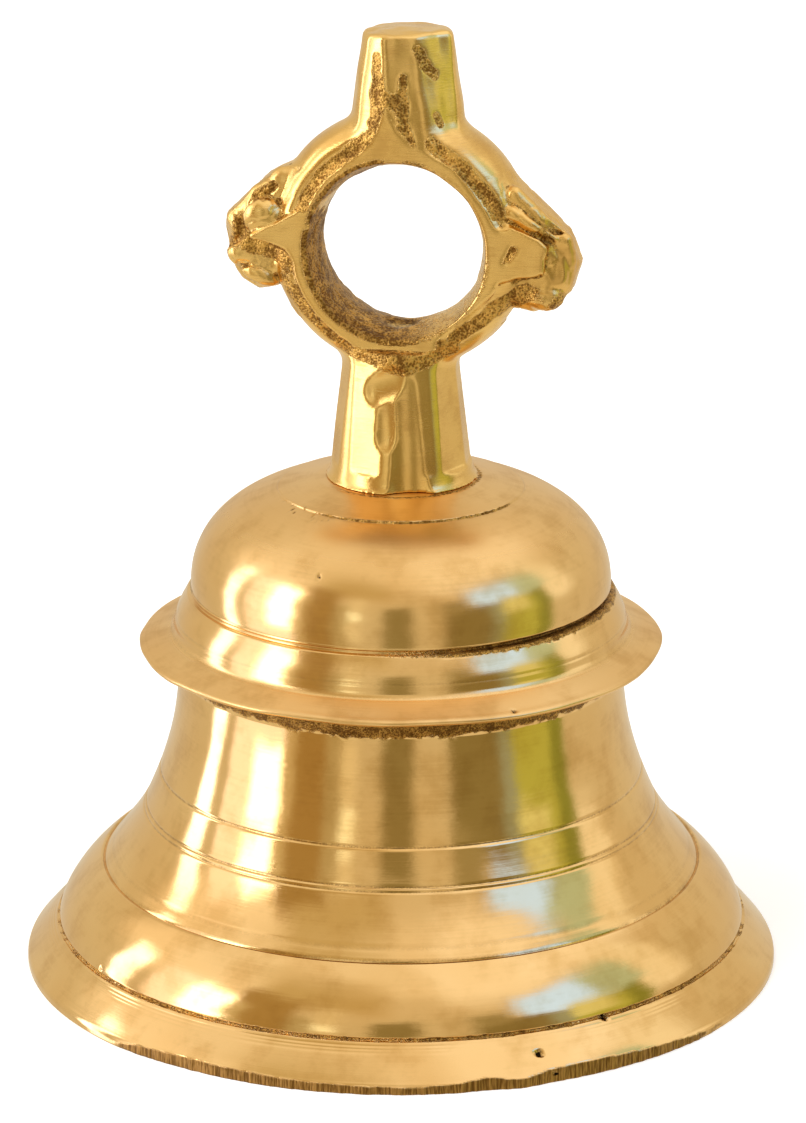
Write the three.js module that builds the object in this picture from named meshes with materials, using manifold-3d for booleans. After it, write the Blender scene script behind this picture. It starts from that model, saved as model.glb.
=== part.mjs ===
// A cast brass altar bell with a ring crown. The crown stands on the dome, and a steel eye bolt screwed up
// into the crown's stem clamps the two castings together through a washer and a thin nut. A split link joins
// the bolt's eye to the loop of the clapper, whose ball strikes the inside of the flared wall.
//
// Millimetres, +Z up. The origin is the centre of the mouth, on the plane the rim stands on.

import * as THREE from "three";
import { mergeVertices } from "three/addons/utils/BufferGeometryUtils.js";
import Module from "manifold-3d";

// ---- driving dimensions ----
const MOUTH_RADIUS = 75;
const LIP_THICKNESS = 4.6;
const SEAT_HEIGHT = 99.7; // the flat on the dome that the crown stands on
const FOOT_RADIUS = 16.2;
const SEAT_LINE_RADIUS = 24.3; // a turned line on the dome, round the crown's seat
const SEAT_LINE_HEIGHT = 97.4;
const DOME_RADIUS = 41.85;
const GROOVE_HEIGHT = 76.6; // the groove between the dome and the shoulder band
const GROOVE_DEPTH = 1.3;
const BAND_LOW_RADIUS = 44.8; // the foot of the shoulder band
const BAND_LOW_HEIGHT = 70.6;
const FLANGE_RADIUS = 51.6;
const FLANGE_HEIGHT = 66;
const WAIST_RADIUS = 43.8;
const WAIST_HEIGHT = 60.2; // where the waist is narrowest, under the flange's cove
const FLARE_RADIUS = 50.9; // where the waist turns into the flare
const FLARE_HEIGHT = 32.6;
const ROLL_TOP_RADIUS = 60.1;
const ROLL_TOP_HEIGHT = 20.5;
const ROLL_LOW_RADIUS = 68.6;
const ROLL_LOW_HEIGHT = 8.8;
const CEILING_HEIGHT = 94.6; // the flat inside the dome
const INNER_WAIST_RADIUS = 38.9;
const INNER_FLARE_RADIUS = 50.2;
const INNER_FLARE_HEIGHT = 24.5;
const RING_HEIGHT = 146.6; // centre of the crown's ring
const RING_HALF_DEPTH = 9.2;
const HOLE_RADIUS = 15.6; // at the middle of the ring; the hole opens out to both faces
const HOLE_FACE_RADIUS = 17.7;
const RING_OUTER_RADIUS = 25.2;
const LUG_REACH = 34.8;
const LUG_ROOT_RADIUS = 11.2;
const STEM_TOP = 128.5;
const STEM_TOP_RADIUS = 11.3;
const PEG_LOW = 164;
const PEG_LOW_RADIUS = 11.6;
const PEG_TOP = 188;
const PEG_TOP_RADIUS = 9.2;
const CAST_OFFSET = 1.7; // the ring and the peg were cast a little to one side
const HOLE_OFFSET = 0.5; // and the ring was bored nearer to the middle
const BOLT_RADIUS = 3;
const BORE_CLEARANCE = 0.3;
const RUNNING_GAP = 0.3; // between the wires of the link, the eye and the loop
const SEAT_GAP = 0.05; // between parts that are clamped face to face

const BORE_RADIUS = BOLT_RADIUS + BORE_CLEARANCE;

// ---- materials ----
const brass = new THREE.MeshStandardMaterial({ color: 0xd9a441, roughness: 0.22, metalness: 1 });
const castBrass = new THREE.MeshStandardMaterial({ color: 0xc8953c, roughness: 0.38, metalness: 1 });
const steel = new THREE.MeshStandardMaterial({ color: 0x8d8b86, roughness: 0.45, metalness: 1 });

const wasm = await Module();
wasm.setup();

// ---- from three.js geometry to a manifold solid and back ----
function solid(geometry) {
  const bare = new THREE.BufferGeometry();
  const loose = geometry.index ? geometry.toNonIndexed() : geometry;
  bare.setAttribute("position", loose.getAttribute("position"));
  const merged = mergeVertices(bare, 1e-4);
  const triVerts = new Uint32Array(merged.index.array);
  const vertProperties = merged.attributes.position.array;
  const made = new wasm.Manifold(new wasm.Mesh({ numProp: 3, vertProperties, triVerts }));
  if (made.volume() > 0) return made;
  for (let i = 0; i < triVerts.length; i += 3) {
    [triVerts[i + 1], triVerts[i + 2]] = [triVerts[i + 2], triVerts[i + 1]];
  }
  return new wasm.Manifold(new wasm.Mesh({ numProp: 3, vertProperties, triVerts }));
}

function geometryOf(made) {
  const mesh = made.getMesh();
  const geometry = new THREE.BufferGeometry();
  geometry.setAttribute("position", new THREE.BufferAttribute(mesh.vertProperties, 3));
  geometry.setIndex(new THREE.BufferAttribute(mesh.triVerts, 1));
  geometry.computeVertexNormals();
  return geometry;
}

function join(...solids) {
  return solids.reduce((sum, next) => sum.add(next));
}

function node(name, made, material) {
  const mesh = new THREE.Mesh(geometryOf(made), material);
  mesh.name = name;
  return mesh;
}

// ---- shapes that several parts use ----

// A profile of (radius, height) points turned about +Z.
function turned(points, segments) {
  return solid(new THREE.LatheGeometry(points, segments).rotateX(Math.PI / 2));
}

// The same, turned about an axis along +X.
function turnedAlongX(points, segments) {
  return solid(new THREE.LatheGeometry(points, segments).rotateZ(-Math.PI / 2));
}

function profile(draw, divisions) {
  const path = new THREE.Path();
  draw(path);
  const points = path.getPoints(divisions);
  return points.filter((p, i) => i === 0 || p.distanceTo(points[i - 1]) > 1e-3);
}

function closed(points) {
  return points[0].distanceTo(points[points.length - 1]) < 1e-3 ? points : [...points, points[0].clone()];
}

function at(r, z) {
  return new THREE.Vector2(r, z);
}

function rod(radius, low, high, segments = 24) {
  return turned([at(0, low), at(radius, low), at(radius, high), at(0, high)], segments);
}

// A round wire ring in the XZ plane.
function wireRing(centreHeight, ringRadius, wireRadius) {
  const torus = new THREE.TorusGeometry(ringRadius, wireRadius, 12, 28);
  return solid(torus.rotateX(Math.PI / 2).translate(0, 0, centreHeight));
}

// ---- bell shell ----
function shellProfile() {
  const lipStep = 0.3; // the lip's edge leans in by this much
  return profile((p) => {
    p.moveTo(BORE_RADIUS, SEAT_HEIGHT);
    p.lineTo(FOOT_RADIUS + 0.4, SEAT_HEIGHT);
    // the dome
    p.lineTo(SEAT_LINE_RADIUS, SEAT_LINE_HEIGHT);
    p.lineTo(SEAT_LINE_RADIUS + 0.1, SEAT_LINE_HEIGHT - 0.4);
    p.bezierCurveTo(35.3, 93.9, 42, 87.8, DOME_RADIUS, GROOVE_HEIGHT + 0.7);
    // the groove and the shoulder band
    p.lineTo(DOME_RADIUS - GROOVE_DEPTH, GROOVE_HEIGHT + 0.5);
    p.lineTo(DOME_RADIUS - GROOVE_DEPTH, GROOVE_HEIGHT - 0.4);
    p.lineTo(DOME_RADIUS + 0.6, GROOVE_HEIGHT - 0.5);
    p.quadraticCurveTo(43.9, 73.4, BAND_LOW_RADIUS, BAND_LOW_HEIGHT);
    // the flange and the cove under it
    p.quadraticCurveTo(45.3, 68.6, 48.6, FLANGE_HEIGHT + 1.8);
    p.lineTo(FLANGE_RADIUS - 1, FLANGE_HEIGHT + 1.2);
    p.quadraticCurveTo(FLANGE_RADIUS, FLANGE_HEIGHT + 0.8, FLANGE_RADIUS, FLANGE_HEIGHT);
    p.lineTo(FLANGE_RADIUS - 0.6, FLANGE_HEIGHT - 1.1);
    p.quadraticCurveTo(WAIST_RADIUS + 1.6, FLANGE_HEIGHT - 1.8, WAIST_RADIUS, WAIST_HEIGHT);
    // the waist flares down to the roll above the lip
    p.bezierCurveTo(44.2, 50.5, 46.4, 42.6, FLARE_RADIUS, FLARE_HEIGHT);
    p.quadraticCurveTo(53.4, 27.4, ROLL_TOP_RADIUS - 0.6, ROLL_TOP_HEIGHT + 0.1);
    p.lineTo(ROLL_TOP_RADIUS, ROLL_TOP_HEIGHT);
    p.bezierCurveTo(64.5, 17.6, 68.1, 13.0, ROLL_LOW_RADIUS, ROLL_LOW_HEIGHT);
    p.lineTo(ROLL_LOW_RADIUS + 0.3, ROLL_LOW_HEIGHT - 0.5);
    // the lip
    p.quadraticCurveTo(71.9, 5.0, MOUTH_RADIUS, 2.4);
    p.lineTo(MOUTH_RADIUS - lipStep, 0);
    p.lineTo(MOUTH_RADIUS - lipStep - LIP_THICKNESS, 0);
    // the inside, thickest at the roll, where the ball strikes
    p.bezierCurveTo(65.5, 5.4, 55.5, 14.5, INNER_FLARE_RADIUS, INNER_FLARE_HEIGHT);
    p.bezierCurveTo(46.5, 31.5, 39.6, 44, INNER_WAIST_RADIUS, 62);
    p.bezierCurveTo(39.2, 80, 34.5, 90, 14, CEILING_HEIGHT);
    p.lineTo(BORE_RADIUS, CEILING_HEIGHT);
    p.lineTo(BORE_RADIUS, SEAT_HEIGHT);
  }, 4);
}

function bellShell() {
  return turned(closed(shellProfile()), 60);
}

// ---- crown: stem, ring, two side lugs and the peg, in one casting ----
function crownRing() {
  const faceRadius = RING_OUTER_RADIUS - 3.9;
  const outer = profile((p) => {
    p.moveTo(0, -RING_HALF_DEPTH);
    p.lineTo(faceRadius, -RING_HALF_DEPTH);
    p.quadraticCurveTo(RING_OUTER_RADIUS, -5.5, RING_OUTER_RADIUS, 0);
    p.quadraticCurveTo(RING_OUTER_RADIUS, 5.5, faceRadius, RING_HALF_DEPTH);
    p.lineTo(0, RING_HALF_DEPTH);
  }, 3);
  const outerLift = 0.9; // the hole sits a little low in the ring
  const disc = solid(new THREE.LatheGeometry(outer, 48));
  const past = 1;
  const flare = ((HOLE_FACE_RADIUS - HOLE_RADIUS) / RING_HALF_DEPTH) * past;
  const hole = solid(
    new THREE.LatheGeometry(
      [
        at(0, -RING_HALF_DEPTH - past),
        at(HOLE_FACE_RADIUS + flare, -RING_HALF_DEPTH - past),
        at(HOLE_RADIUS, 0),
        at(HOLE_FACE_RADIUS + flare, RING_HALF_DEPTH + past),
        at(0, RING_HALF_DEPTH + past),
      ],
      48,
    ),
  );
  return {
    disc: disc.translate([CAST_OFFSET, 0, RING_HEIGHT + outerLift]),
    hole: hole.translate([HOLE_OFFSET, 0, RING_HEIGHT]),
  };
}

function crownStem() {
  const points = profile((p) => {
    p.moveTo(0, SEAT_HEIGHT + SEAT_GAP);
    p.lineTo(FOOT_RADIUS, SEAT_HEIGHT + SEAT_GAP);
    p.quadraticCurveTo(14.6, 101.4, 14.2, 104);
    p.quadraticCurveTo(13.2, 114, STEM_TOP_RADIUS, STEM_TOP - 5.1);
    p.quadraticCurveTo(10.8, 126.8, 8.6, STEM_TOP);
    p.lineTo(0, STEM_TOP);
  }, 4);
  return turned(points, 32);
}

function crownPeg() {
  const points = profile((p) => {
    p.moveTo(0, PEG_LOW);
    p.lineTo(PEG_LOW_RADIUS, PEG_LOW + 2);
    p.quadraticCurveTo(10.4, 174, PEG_TOP_RADIUS, PEG_TOP - 1.6);
    p.quadraticCurveTo(PEG_TOP_RADIUS - 0.2, PEG_TOP - 0.4, PEG_TOP_RADIUS - 1.6, PEG_TOP);
    p.lineTo(0, PEG_TOP);
  }, 4);
  return turned(points, 28).translate([CAST_OFFSET, 0, 0]);
}

function crownLug(side, lift) {
  const points = profile((p) => {
    p.moveTo(0, 19);
    p.lineTo(LUG_ROOT_RADIUS, 19.4);
    p.quadraticCurveTo(10.4, 25, 8.2, 30);
    p.quadraticCurveTo(6.4, LUG_REACH - 0.6, 2.8, LUG_REACH);
    p.lineTo(0, LUG_REACH);
  }, 4);
  const lug = turnedAlongX(points, 28);
  return (side > 0 ? lug : lug.mirror([1, 0, 0])).translate([HOLE_OFFSET, 0, RING_HEIGHT + lift]);
}

function crownHanger() {
  const ring = crownRing();
  const rightLift = -1.4;
  const leftLift = 1.2;
  const lugs = join(crownLug(1, rightLift), crownLug(-1, leftLift));
  // the front and back faces are filed flat
  const between = solid(new THREE.BoxGeometry(90, 2 * RING_HALF_DEPTH, 80));
  const upper = join(ring.disc, crownPeg(), lugs).intersect(between.translate([0, 0, RING_HEIGHT + 10]));
  const bore = rod(BORE_RADIUS, SEAT_HEIGHT - 1, RING_HEIGHT - HOLE_RADIUS + 3);
  return join(crownStem(), upper).subtract(ring.hole).subtract(bore);
}

// ---- eye bolt, washer and nut ----
const WASHER_THICKNESS = 1.6;
const NUT_THICKNESS = 3.2;
const EYE_WIRE_RADIUS = 2.25;
const EYE_RING_RADIUS = 6.4;
const EYE_GAP = 1.2; // between the nut and the eye
const washerTop = CEILING_HEIGHT - SEAT_GAP;
const nutTop = washerTop - WASHER_THICKNESS - SEAT_GAP;
const eyeHeight = nutTop - NUT_THICKNESS - EYE_GAP - EYE_RING_RADIUS - EYE_WIRE_RADIUS;
const eyePivotHeight = eyeHeight - EYE_RING_RADIUS;

function eyeBolt() {
  const shankTop = 124;
  const chamfer = 0.6;
  const shank = turned(
    [
      at(0, eyeHeight + EYE_RING_RADIUS),
      at(BOLT_RADIUS, eyeHeight + EYE_RING_RADIUS),
      at(BOLT_RADIUS, shankTop - chamfer),
      at(BOLT_RADIUS - chamfer, shankTop),
      at(0, shankTop),
    ],
    24,
  );
  return join(shank, wireRing(eyeHeight, EYE_RING_RADIUS, EYE_WIRE_RADIUS));
}

function innerWasher() {
  const outerRadius = 9;
  return turned(
    closed([
      at(BORE_RADIUS, washerTop - WASHER_THICKNESS),
      at(outerRadius, washerTop - WASHER_THICKNESS),
      at(outerRadius, washerTop),
      at(BORE_RADIUS, washerTop),
    ]),
    32,
  );
}

function lockNut() {
  const acrossFlats = 10;
  const cornerRadius = acrossFlats / Math.sqrt(3);
  const chamfer = 0.5;
  const blank = turned(
    [
      at(0, nutTop - NUT_THICKNESS),
      at(cornerRadius - chamfer, nutTop - NUT_THICKNESS),
      at(cornerRadius, nutTop - NUT_THICKNESS + chamfer),
      at(cornerRadius, nutTop - chamfer),
      at(cornerRadius - chamfer, nutTop),
      at(0, nutTop),
    ],
    6,
  );
  return blank.subtract(rod(BORE_RADIUS, nutTop - NUT_THICKNESS - 1, nutTop + 1));
}

// ---- split link between the eye and the clapper ----
const LINK_WIRE_RADIUS = 1.6;
const LINK_END_RADIUS = 4.6; // centre line of the round ends
const LINK_STRAIGHT = 5;
const linkTopCentre = eyePivotHeight + EYE_WIRE_RADIUS + RUNNING_GAP + LINK_WIRE_RADIUS - LINK_END_RADIUS;
const linkLowCentre = linkTopCentre - LINK_STRAIGHT;
const clapperPivotHeight = linkLowCentre - LINK_END_RADIUS;

// A stadium in the YZ plane, with its ends a little apart half way up one straight side.
class LinkCurve extends THREE.Curve {
  getPoint(t, target = new THREE.Vector3()) {
    const split = 0.5;
    const arc = Math.PI * LINK_END_RADIUS;
    const half = (LINK_STRAIGHT - split) / 2;
    let s = t * (2 * arc + LINK_STRAIGHT + 2 * half);
    const middle = (linkTopCentre + linkLowCentre) / 2;
    if (s < half) return target.set(0, LINK_END_RADIUS, middle + split / 2 + s);
    s -= half;
    if (s < arc) {
      const a = s / LINK_END_RADIUS;
      return target.set(0, LINK_END_RADIUS * Math.cos(a), linkTopCentre + LINK_END_RADIUS * Math.sin(a));
    }
    s -= arc;
    if (s < LINK_STRAIGHT) return target.set(0, -LINK_END_RADIUS, linkTopCentre - s);
    s -= LINK_STRAIGHT;
    if (s < arc) {
      const a = Math.PI + s / LINK_END_RADIUS;
      return target.set(0, LINK_END_RADIUS * Math.cos(a), linkLowCentre + LINK_END_RADIUS * Math.sin(a));
    }
    s -= arc;
    return target.set(0, LINK_END_RADIUS, linkLowCentre + s);
  }
}

function clapperLink() {
  const section = new THREE.Shape();
  section.absarc(0, 0, LINK_WIRE_RADIUS, 0, 2 * Math.PI);
  return solid(
    new THREE.ExtrudeGeometry(section, { extrudePath: new LinkCurve(), steps: 40, curveSegments: 6 }),
  );
}

// ---- clapper: rod with a loop and a collar, ball and tail nut ----
const LOOP_WIRE_RADIUS = 2;
const LOOP_RING_RADIUS = 6;
const ROD_RADIUS = 2.5;
const BALL_RADIUS = 15.5;
const BALL_HEIGHT = 25;
const BALL_FLAT = 1.5; // width of the flat faced round each end of the ball's bore
const TAIL_LOW = 4.6;
const loopHeight = clapperPivotHeight + LINK_WIRE_RADIUS + RUNNING_GAP + LOOP_WIRE_RADIUS - LOOP_RING_RADIUS;
const ballHalfBore = Math.sqrt(BALL_RADIUS ** 2 - (ROD_RADIUS + BALL_FLAT) ** 2);
const rodBore = ROD_RADIUS + BORE_CLEARANCE;

function clapperRod() {
  const rodLow = TAIL_LOW + 2.4;
  const collarRadius = 4.4;
  const collarLow = BALL_HEIGHT + ballHalfBore + SEAT_GAP;
  const collarHigh = collarLow + 2.2;
  const collarTaper = 1;
  const shaft = turned(
    [
      at(0, rodLow),
      at(ROD_RADIUS, rodLow),
      at(ROD_RADIUS, collarLow),
      at(collarRadius, collarLow),
      at(collarRadius, collarHigh),
      at(ROD_RADIUS, collarHigh + collarTaper),
      at(ROD_RADIUS, loopHeight - LOOP_RING_RADIUS),
      at(0, loopHeight - LOOP_RING_RADIUS),
    ],
    24,
  );
  return join(shaft, wireRing(loopHeight, LOOP_RING_RADIUS, LOOP_WIRE_RADIUS));
}

function clapperBall() {
  const flat = Math.asin(ballHalfBore / BALL_RADIUS);
  const points = profile((p) => {
    p.moveTo(rodBore, BALL_HEIGHT - ballHalfBore);
    p.lineTo(ROD_RADIUS + BALL_FLAT, BALL_HEIGHT - ballHalfBore);
    p.absarc(0, BALL_HEIGHT, BALL_RADIUS, -flat, flat, false);
    p.lineTo(rodBore, BALL_HEIGHT + ballHalfBore);
  }, 7);
  return turned(closed(points), 32);
}

function clapperTail() {
  const radius = 5.2;
  const floor = TAIL_LOW + 2;
  const top = BALL_HEIGHT - ballHalfBore - SEAT_GAP;
  const points = profile((p) => {
    p.moveTo(0, TAIL_LOW);
    p.lineTo(1.6, TAIL_LOW);
    p.quadraticCurveTo(radius, TAIL_LOW + 0.4, radius, TAIL_LOW + 2.6);
    p.quadraticCurveTo(radius, TAIL_LOW + 3.6, 4.4, top);
    p.lineTo(rodBore, top);
    p.lineTo(rodBore, floor);
    p.lineTo(0, floor);
  }, 4);
  return turned(points, 24);
}

// ---- assembly: three bodies, bell, link and clapper, each hung from the one before ----
const bell = new THREE.Group();
bell.add(
  node("bell_shell", bellShell(), brass),
  node("crown_hanger", crownHanger(), castBrass),
  node("eye_bolt", eyeBolt(), steel),
  node("inner_washer", innerWasher(), steel),
  node("lock_nut", lockNut(), steel),
);

const clapper = new THREE.Group();
clapper.add(
  node("clapper_rod", clapperRod(), steel),
  node("clapper_ball", clapperBall(), castBrass),
  node("clapper_tail", clapperTail(), castBrass),
);

const link = new THREE.Group();
link.add(node("clapper_link", clapperLink(), steel), clapper);
bell.add(link);

export default bell;
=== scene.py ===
"""A cast and turned brass altar bell: the looks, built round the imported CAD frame.

Every visible piece is a mesh made here. The outlines are in millimetres, in the frame's own axes, and the
meshes are scaled to metres when they are made.
"""
import math

import bpy
import numpy as np
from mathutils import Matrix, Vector


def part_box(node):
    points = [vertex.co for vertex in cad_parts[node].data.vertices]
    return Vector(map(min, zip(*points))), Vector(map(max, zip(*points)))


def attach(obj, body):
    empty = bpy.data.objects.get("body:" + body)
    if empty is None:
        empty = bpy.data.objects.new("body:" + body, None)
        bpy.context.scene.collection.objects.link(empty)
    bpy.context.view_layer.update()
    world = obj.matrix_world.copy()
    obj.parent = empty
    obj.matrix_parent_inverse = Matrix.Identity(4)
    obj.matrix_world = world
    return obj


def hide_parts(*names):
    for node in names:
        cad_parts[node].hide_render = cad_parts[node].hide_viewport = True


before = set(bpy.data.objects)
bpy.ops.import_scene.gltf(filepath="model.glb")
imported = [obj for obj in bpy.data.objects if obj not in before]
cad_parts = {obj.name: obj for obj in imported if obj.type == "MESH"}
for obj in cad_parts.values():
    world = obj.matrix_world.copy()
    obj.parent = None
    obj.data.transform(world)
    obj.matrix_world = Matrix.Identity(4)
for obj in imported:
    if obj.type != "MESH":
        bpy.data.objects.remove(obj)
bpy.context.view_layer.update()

MM = 0.001
COARSER = 1  # how many times coarser the grids of a quick draft are


def low(node):
    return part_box(node)[0] / MM


def high(node):
    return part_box(node)[1] / MM


def heights(node):
    """The lowest and the highest point of a node."""
    return low(node).z, high(node).z


# ----- camera -----
VIEW_AZIMUTH = math.radians(10)
VIEW_PITCH = math.radians(17.86)
VIEW_DISTANCE = 1.0  # from the bell's axis, along the floor
VIEW_HEIGHT = 0.4038
VIEW_ASIDE = 0.0004  # the axis stands a hair left of the middle of the picture
LENS_TO_SENSOR = 4.74  # focal length over the long side of the sensor


def make_camera():
    data = bpy.data.cameras.new("camera")
    data.sensor_width = 36
    data.lens = LENS_TO_SENSOR * data.sensor_width
    data.clip_start = 0.05
    data.clip_end = 30
    camera = bpy.data.objects.new("camera", data)
    right = Vector((math.cos(VIEW_AZIMUTH), math.sin(VIEW_AZIMUTH), 0))
    back = Vector((math.sin(VIEW_AZIMUTH), -math.cos(VIEW_AZIMUTH), 0))
    camera.location = back * VIEW_DISTANCE + right * VIEW_ASIDE + Vector((0, 0, VIEW_HEIGHT))
    camera.rotation_euler = (math.pi / 2 - VIEW_PITCH, 0, VIEW_AZIMUTH)
    bpy.context.scene.collection.objects.link(camera)
    bpy.context.scene.camera = camera


make_camera()


# ----- small geometry helpers -----
def smoothstep(low_edge, high_edge, x):
    t = np.clip((x - low_edge) / (high_edge - low_edge), 0, 1)
    return t * t * (3 - 2 * t)


def bump_at(x, centre, width):
    """1 at the centre, falling smoothly to 0 on both sides."""
    return np.exp(-(((x - centre) / width) ** 2))


def wave(angle, seed, harmonics, fade=0.8):
    """A smooth wobble round a circle, between about -1 and 1."""
    rng = np.random.default_rng(seed)
    total = np.zeros_like(angle)
    weight = 0
    for k in harmonics:
        size = k ** -fade
        total += size * np.cos(k * angle + rng.uniform(0, 2 * math.pi))
        weight += size
    return total / (0.6 * weight)


def lattice_noise(points, cell, seed):
    """Smooth value noise in three dimensions, between -1 and 1."""
    table = np.random.default_rng(seed).uniform(-1, 1, (32, 32, 32)).astype(np.float32)
    scaled = points / cell
    base = np.floor(scaled).astype(int)
    t = scaled - base
    t = t * t * (3 - 2 * t)
    total = np.zeros(len(points))
    for dx in (0, 1):
        for dy in (0, 1):
            for dz in (0, 1):
                weight = (t[:, 0] if dx else 1 - t[:, 0]) * (t[:, 1] if dy else 1 - t[:, 1])
                weight = weight * (t[:, 2] if dz else 1 - t[:, 2])
                corner = (base + (dx, dy, dz)) % 32
                total += weight * table[corner[:, 0], corner[:, 1], corner[:, 2]]
    return total


def bezier(p0, p1, p2, p3, count):
    t = np.linspace(0, 1, count + 1)[1:, None]
    p0, p1, p2, p3 = (np.array(p, float) for p in (p0, p1, p2, p3))
    return (1 - t) ** 3 * p0 + 3 * (1 - t) ** 2 * t * p1 + 3 * (1 - t) * t * t * p2 + t**3 * p3


class Outline:
    """A (radius, height) outline sampled at an even spacing."""

    def __init__(self, r, z, spacing):
        self.points = [np.array([[r, z]], float)]
        self.spacing = spacing

    def end(self):
        return self.points[-1][-1]

    def line(self, r, z, spacing=None):
        start = self.end()
        length = math.hypot(r - start[0], z - start[1])
        count = max(1, round(length / (spacing or self.spacing)))
        t = np.linspace(0, 1, count + 1)[1:, None]
        self.points.append(start + (np.array([r, z]) - start) * t)
        return self

    def curve(self, c1, c2, end, spacing=None):
        start = self.end()
        length = sum(math.dist(a, b) for a, b in zip((start, c1, c2), (c1, c2, end)))
        count = max(2, round(length / (spacing or self.spacing)))
        self.points.append(bezier(start, c1, c2, end, count))
        return self

    def bend(self, control, end, spacing=None):
        """A quadratic curve."""
        start, control, end = self.end(), np.array(control, float), np.array(end, float)
        return self.curve(start + (control - start) * 2 / 3, end + (control - end) * 2 / 3, end, spacing)

    def array(self):
        return np.concatenate(self.points)


def mesh_object(name, points, faces, attributes=None):
    """A smooth-shaded mesh from points in millimetres."""
    mesh = bpy.data.meshes.new(name)
    mesh.from_pydata((np.asarray(points, float) * MM).tolist(), [], [list(map(int, f)) for f in faces])
    mesh.polygons.foreach_set("use_smooth", np.ones(len(mesh.polygons), bool))
    for key, values in (attributes or {}).items():
        layer = mesh.attributes.new(key, "FLOAT", "POINT")
        layer.data.foreach_set("value", np.asarray(values, np.float32))
    mesh.update()
    made = bpy.data.objects.new(name, mesh)
    bpy.context.scene.collection.objects.link(made)
    return made


def ring_faces(rings, around, closed_rings):
    """Quads between rings of points. Rings run in order, and the last joins the first if closed_rings."""
    i, j = np.meshgrid(np.arange(rings if closed_rings else rings - 1), np.arange(around), indexing="ij")
    a = i * around + j
    b = i * around + (j + 1) % around
    c = ((i + 1) % rings) * around + (j + 1) % around
    d = ((i + 1) % rings) * around + j
    return np.stack([a, d, c, b], -1).reshape(-1, 4)


def outward_normals(outline):
    """Unit normals of an outline that runs clockwise seen with radius to the right and height up."""
    step = np.roll(outline, -1, 0) - np.roll(outline, 1, 0)
    normal = np.stack([-step[:, 1], step[:, 0]], -1)
    return normal / np.maximum(np.linalg.norm(normal, axis=1, keepdims=True), 1e-9)


def arc_lengths(outline):
    steps = np.linalg.norm(np.diff(outline, axis=0), axis=1)
    return np.concatenate([[0], np.cumsum(steps)])


# ----- bell shell -----
SEAT = high("bell_shell").z  # the flat that the crown stands on
MOUTH = high("bell_shell").x  # radius of the lip
BORE = 3.3  # radius of the bolt's hole
GROOVE = 76.6  # height of the groove over the shoulder band
FLANGE = 51.6  # radius of the flange on the shoulder
STEP = 20.6  # height of the step over the roll
LIP_GROOVE = 8.6  # height of the groove between the roll and the lip
SEAT_LINE = 24.4  # radius of the turned line on top of the dome
STEM_EDGE = 15.5  # radius of the ring of grit round the stem's foot


def shell_outline():
    """From the bore, over the outside, round the lip and back up the inside. Returns it with the index at
    which the inside starts."""
    fine = 0.3
    o = Outline(BORE, SEAT, 1.0)
    o.line(14.5, SEAT).line(16.4, SEAT - 0.25, fine)
    o.line(24.2, 97.45, fine).line(24.35, 97.1, 0.1).line(24.7, 97.0, fine)
    o.curve((35.1, 93.8), (41.7, 87.6), (41.5, GROOVE + 0.9), 0.6)
    # the groove between the dome and the shoulder band
    o.bend((41.5, GROOVE + 0.55), (41.2, GROOVE + 0.45), 0.12).line(40.5, GROOVE + 0.3, 0.15)
    o.bend((40.2, GROOVE), (40.5, GROOVE - 0.3), 0.15).line(41.9, GROOVE - 0.4, 0.15)
    o.bend((42.25, GROOVE - 0.45), (42.4, GROOVE - 0.8), 0.12)
    o.curve((43.5, 73.9), (44.4, 72.3), (44.75, 70.5), 0.3)
    # the flange, and the cove under it
    o.curve((44.85, 69.3), (45.2, 68.7), (46.2, 68.35), 0.25).line(50.3, 66.7, fine)
    o.curve((51.1, 66.4), (51.75, 66.2), (FLANGE, 65.7), 0.15)
    o.curve((51.45, 65.2), (51, 64.95), (50.3, 64.9), 0.15)
    o.line(47.4, 64.7, 0.25).curve((45.6, 64.4), (44.75, 63.6), (44.5, 61.6), 0.2)
    # the waist
    o.bend((44.3, 60.9), (44.1, 60.2), 0.2)
    o.curve((44.4, 50.5), (46.4, 42.6), (50.9, 32.6), 0.16)
    o.line(51.6, 31.2, 0.12).bend((53.9, 27.0), (59.3, 20.75), 0.5)
    # the step over the roll, and the roll
    o.line(59.5, 20.3, 0.1).bend((59.8, 20.75), (60.3, 20.45), 0.1)
    o.curve((63.5, 18.1), (67.6, 13.2), (68.6, LIP_GROOVE + 0.5), 0.4)
    o.bend((68.65, LIP_GROOVE + 0.1), (68.35, LIP_GROOVE - 0.1), 0.12)
    o.bend((68.6, LIP_GROOVE - 0.5), (69.1, LIP_GROOVE - 0.4), 0.12)
    # the lip, which is sawn off square at its edge
    o.line(70.3, 6.95, 0.14).bend((72.3, 4.8), (MOUTH - 0.5, 2.2), 0.25)
    o.bend((MOUTH + 0.1, 1.6), (MOUTH + 0.15, 0.9), 0.15).line(MOUTH + 0.15, 0, 0.2)
    o.line(MOUTH - 2.4, 0, 3).line(MOUTH - 4.4, 0, 0.5)
    outside = sum(len(p) for p in o.points)
    o.bend((MOUTH - 5.0, 0), (MOUTH - 5.4, 0.7), 0.2)
    o.curve((65.3, 5.6), (55.5, 14.5), (50.2, 24.5), 1.0)
    o.curve((46.5, 31.5), (39.6, 44), (38.9, 62), 1.2)
    o.curve((39.2, 80), (34.5, 90), (14, 94.6), 1.2)
    o.line(BORE, 94.6, 1.5).line(BORE, SEAT - 0.8, 1.5)
    return o.array(), outside


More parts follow.
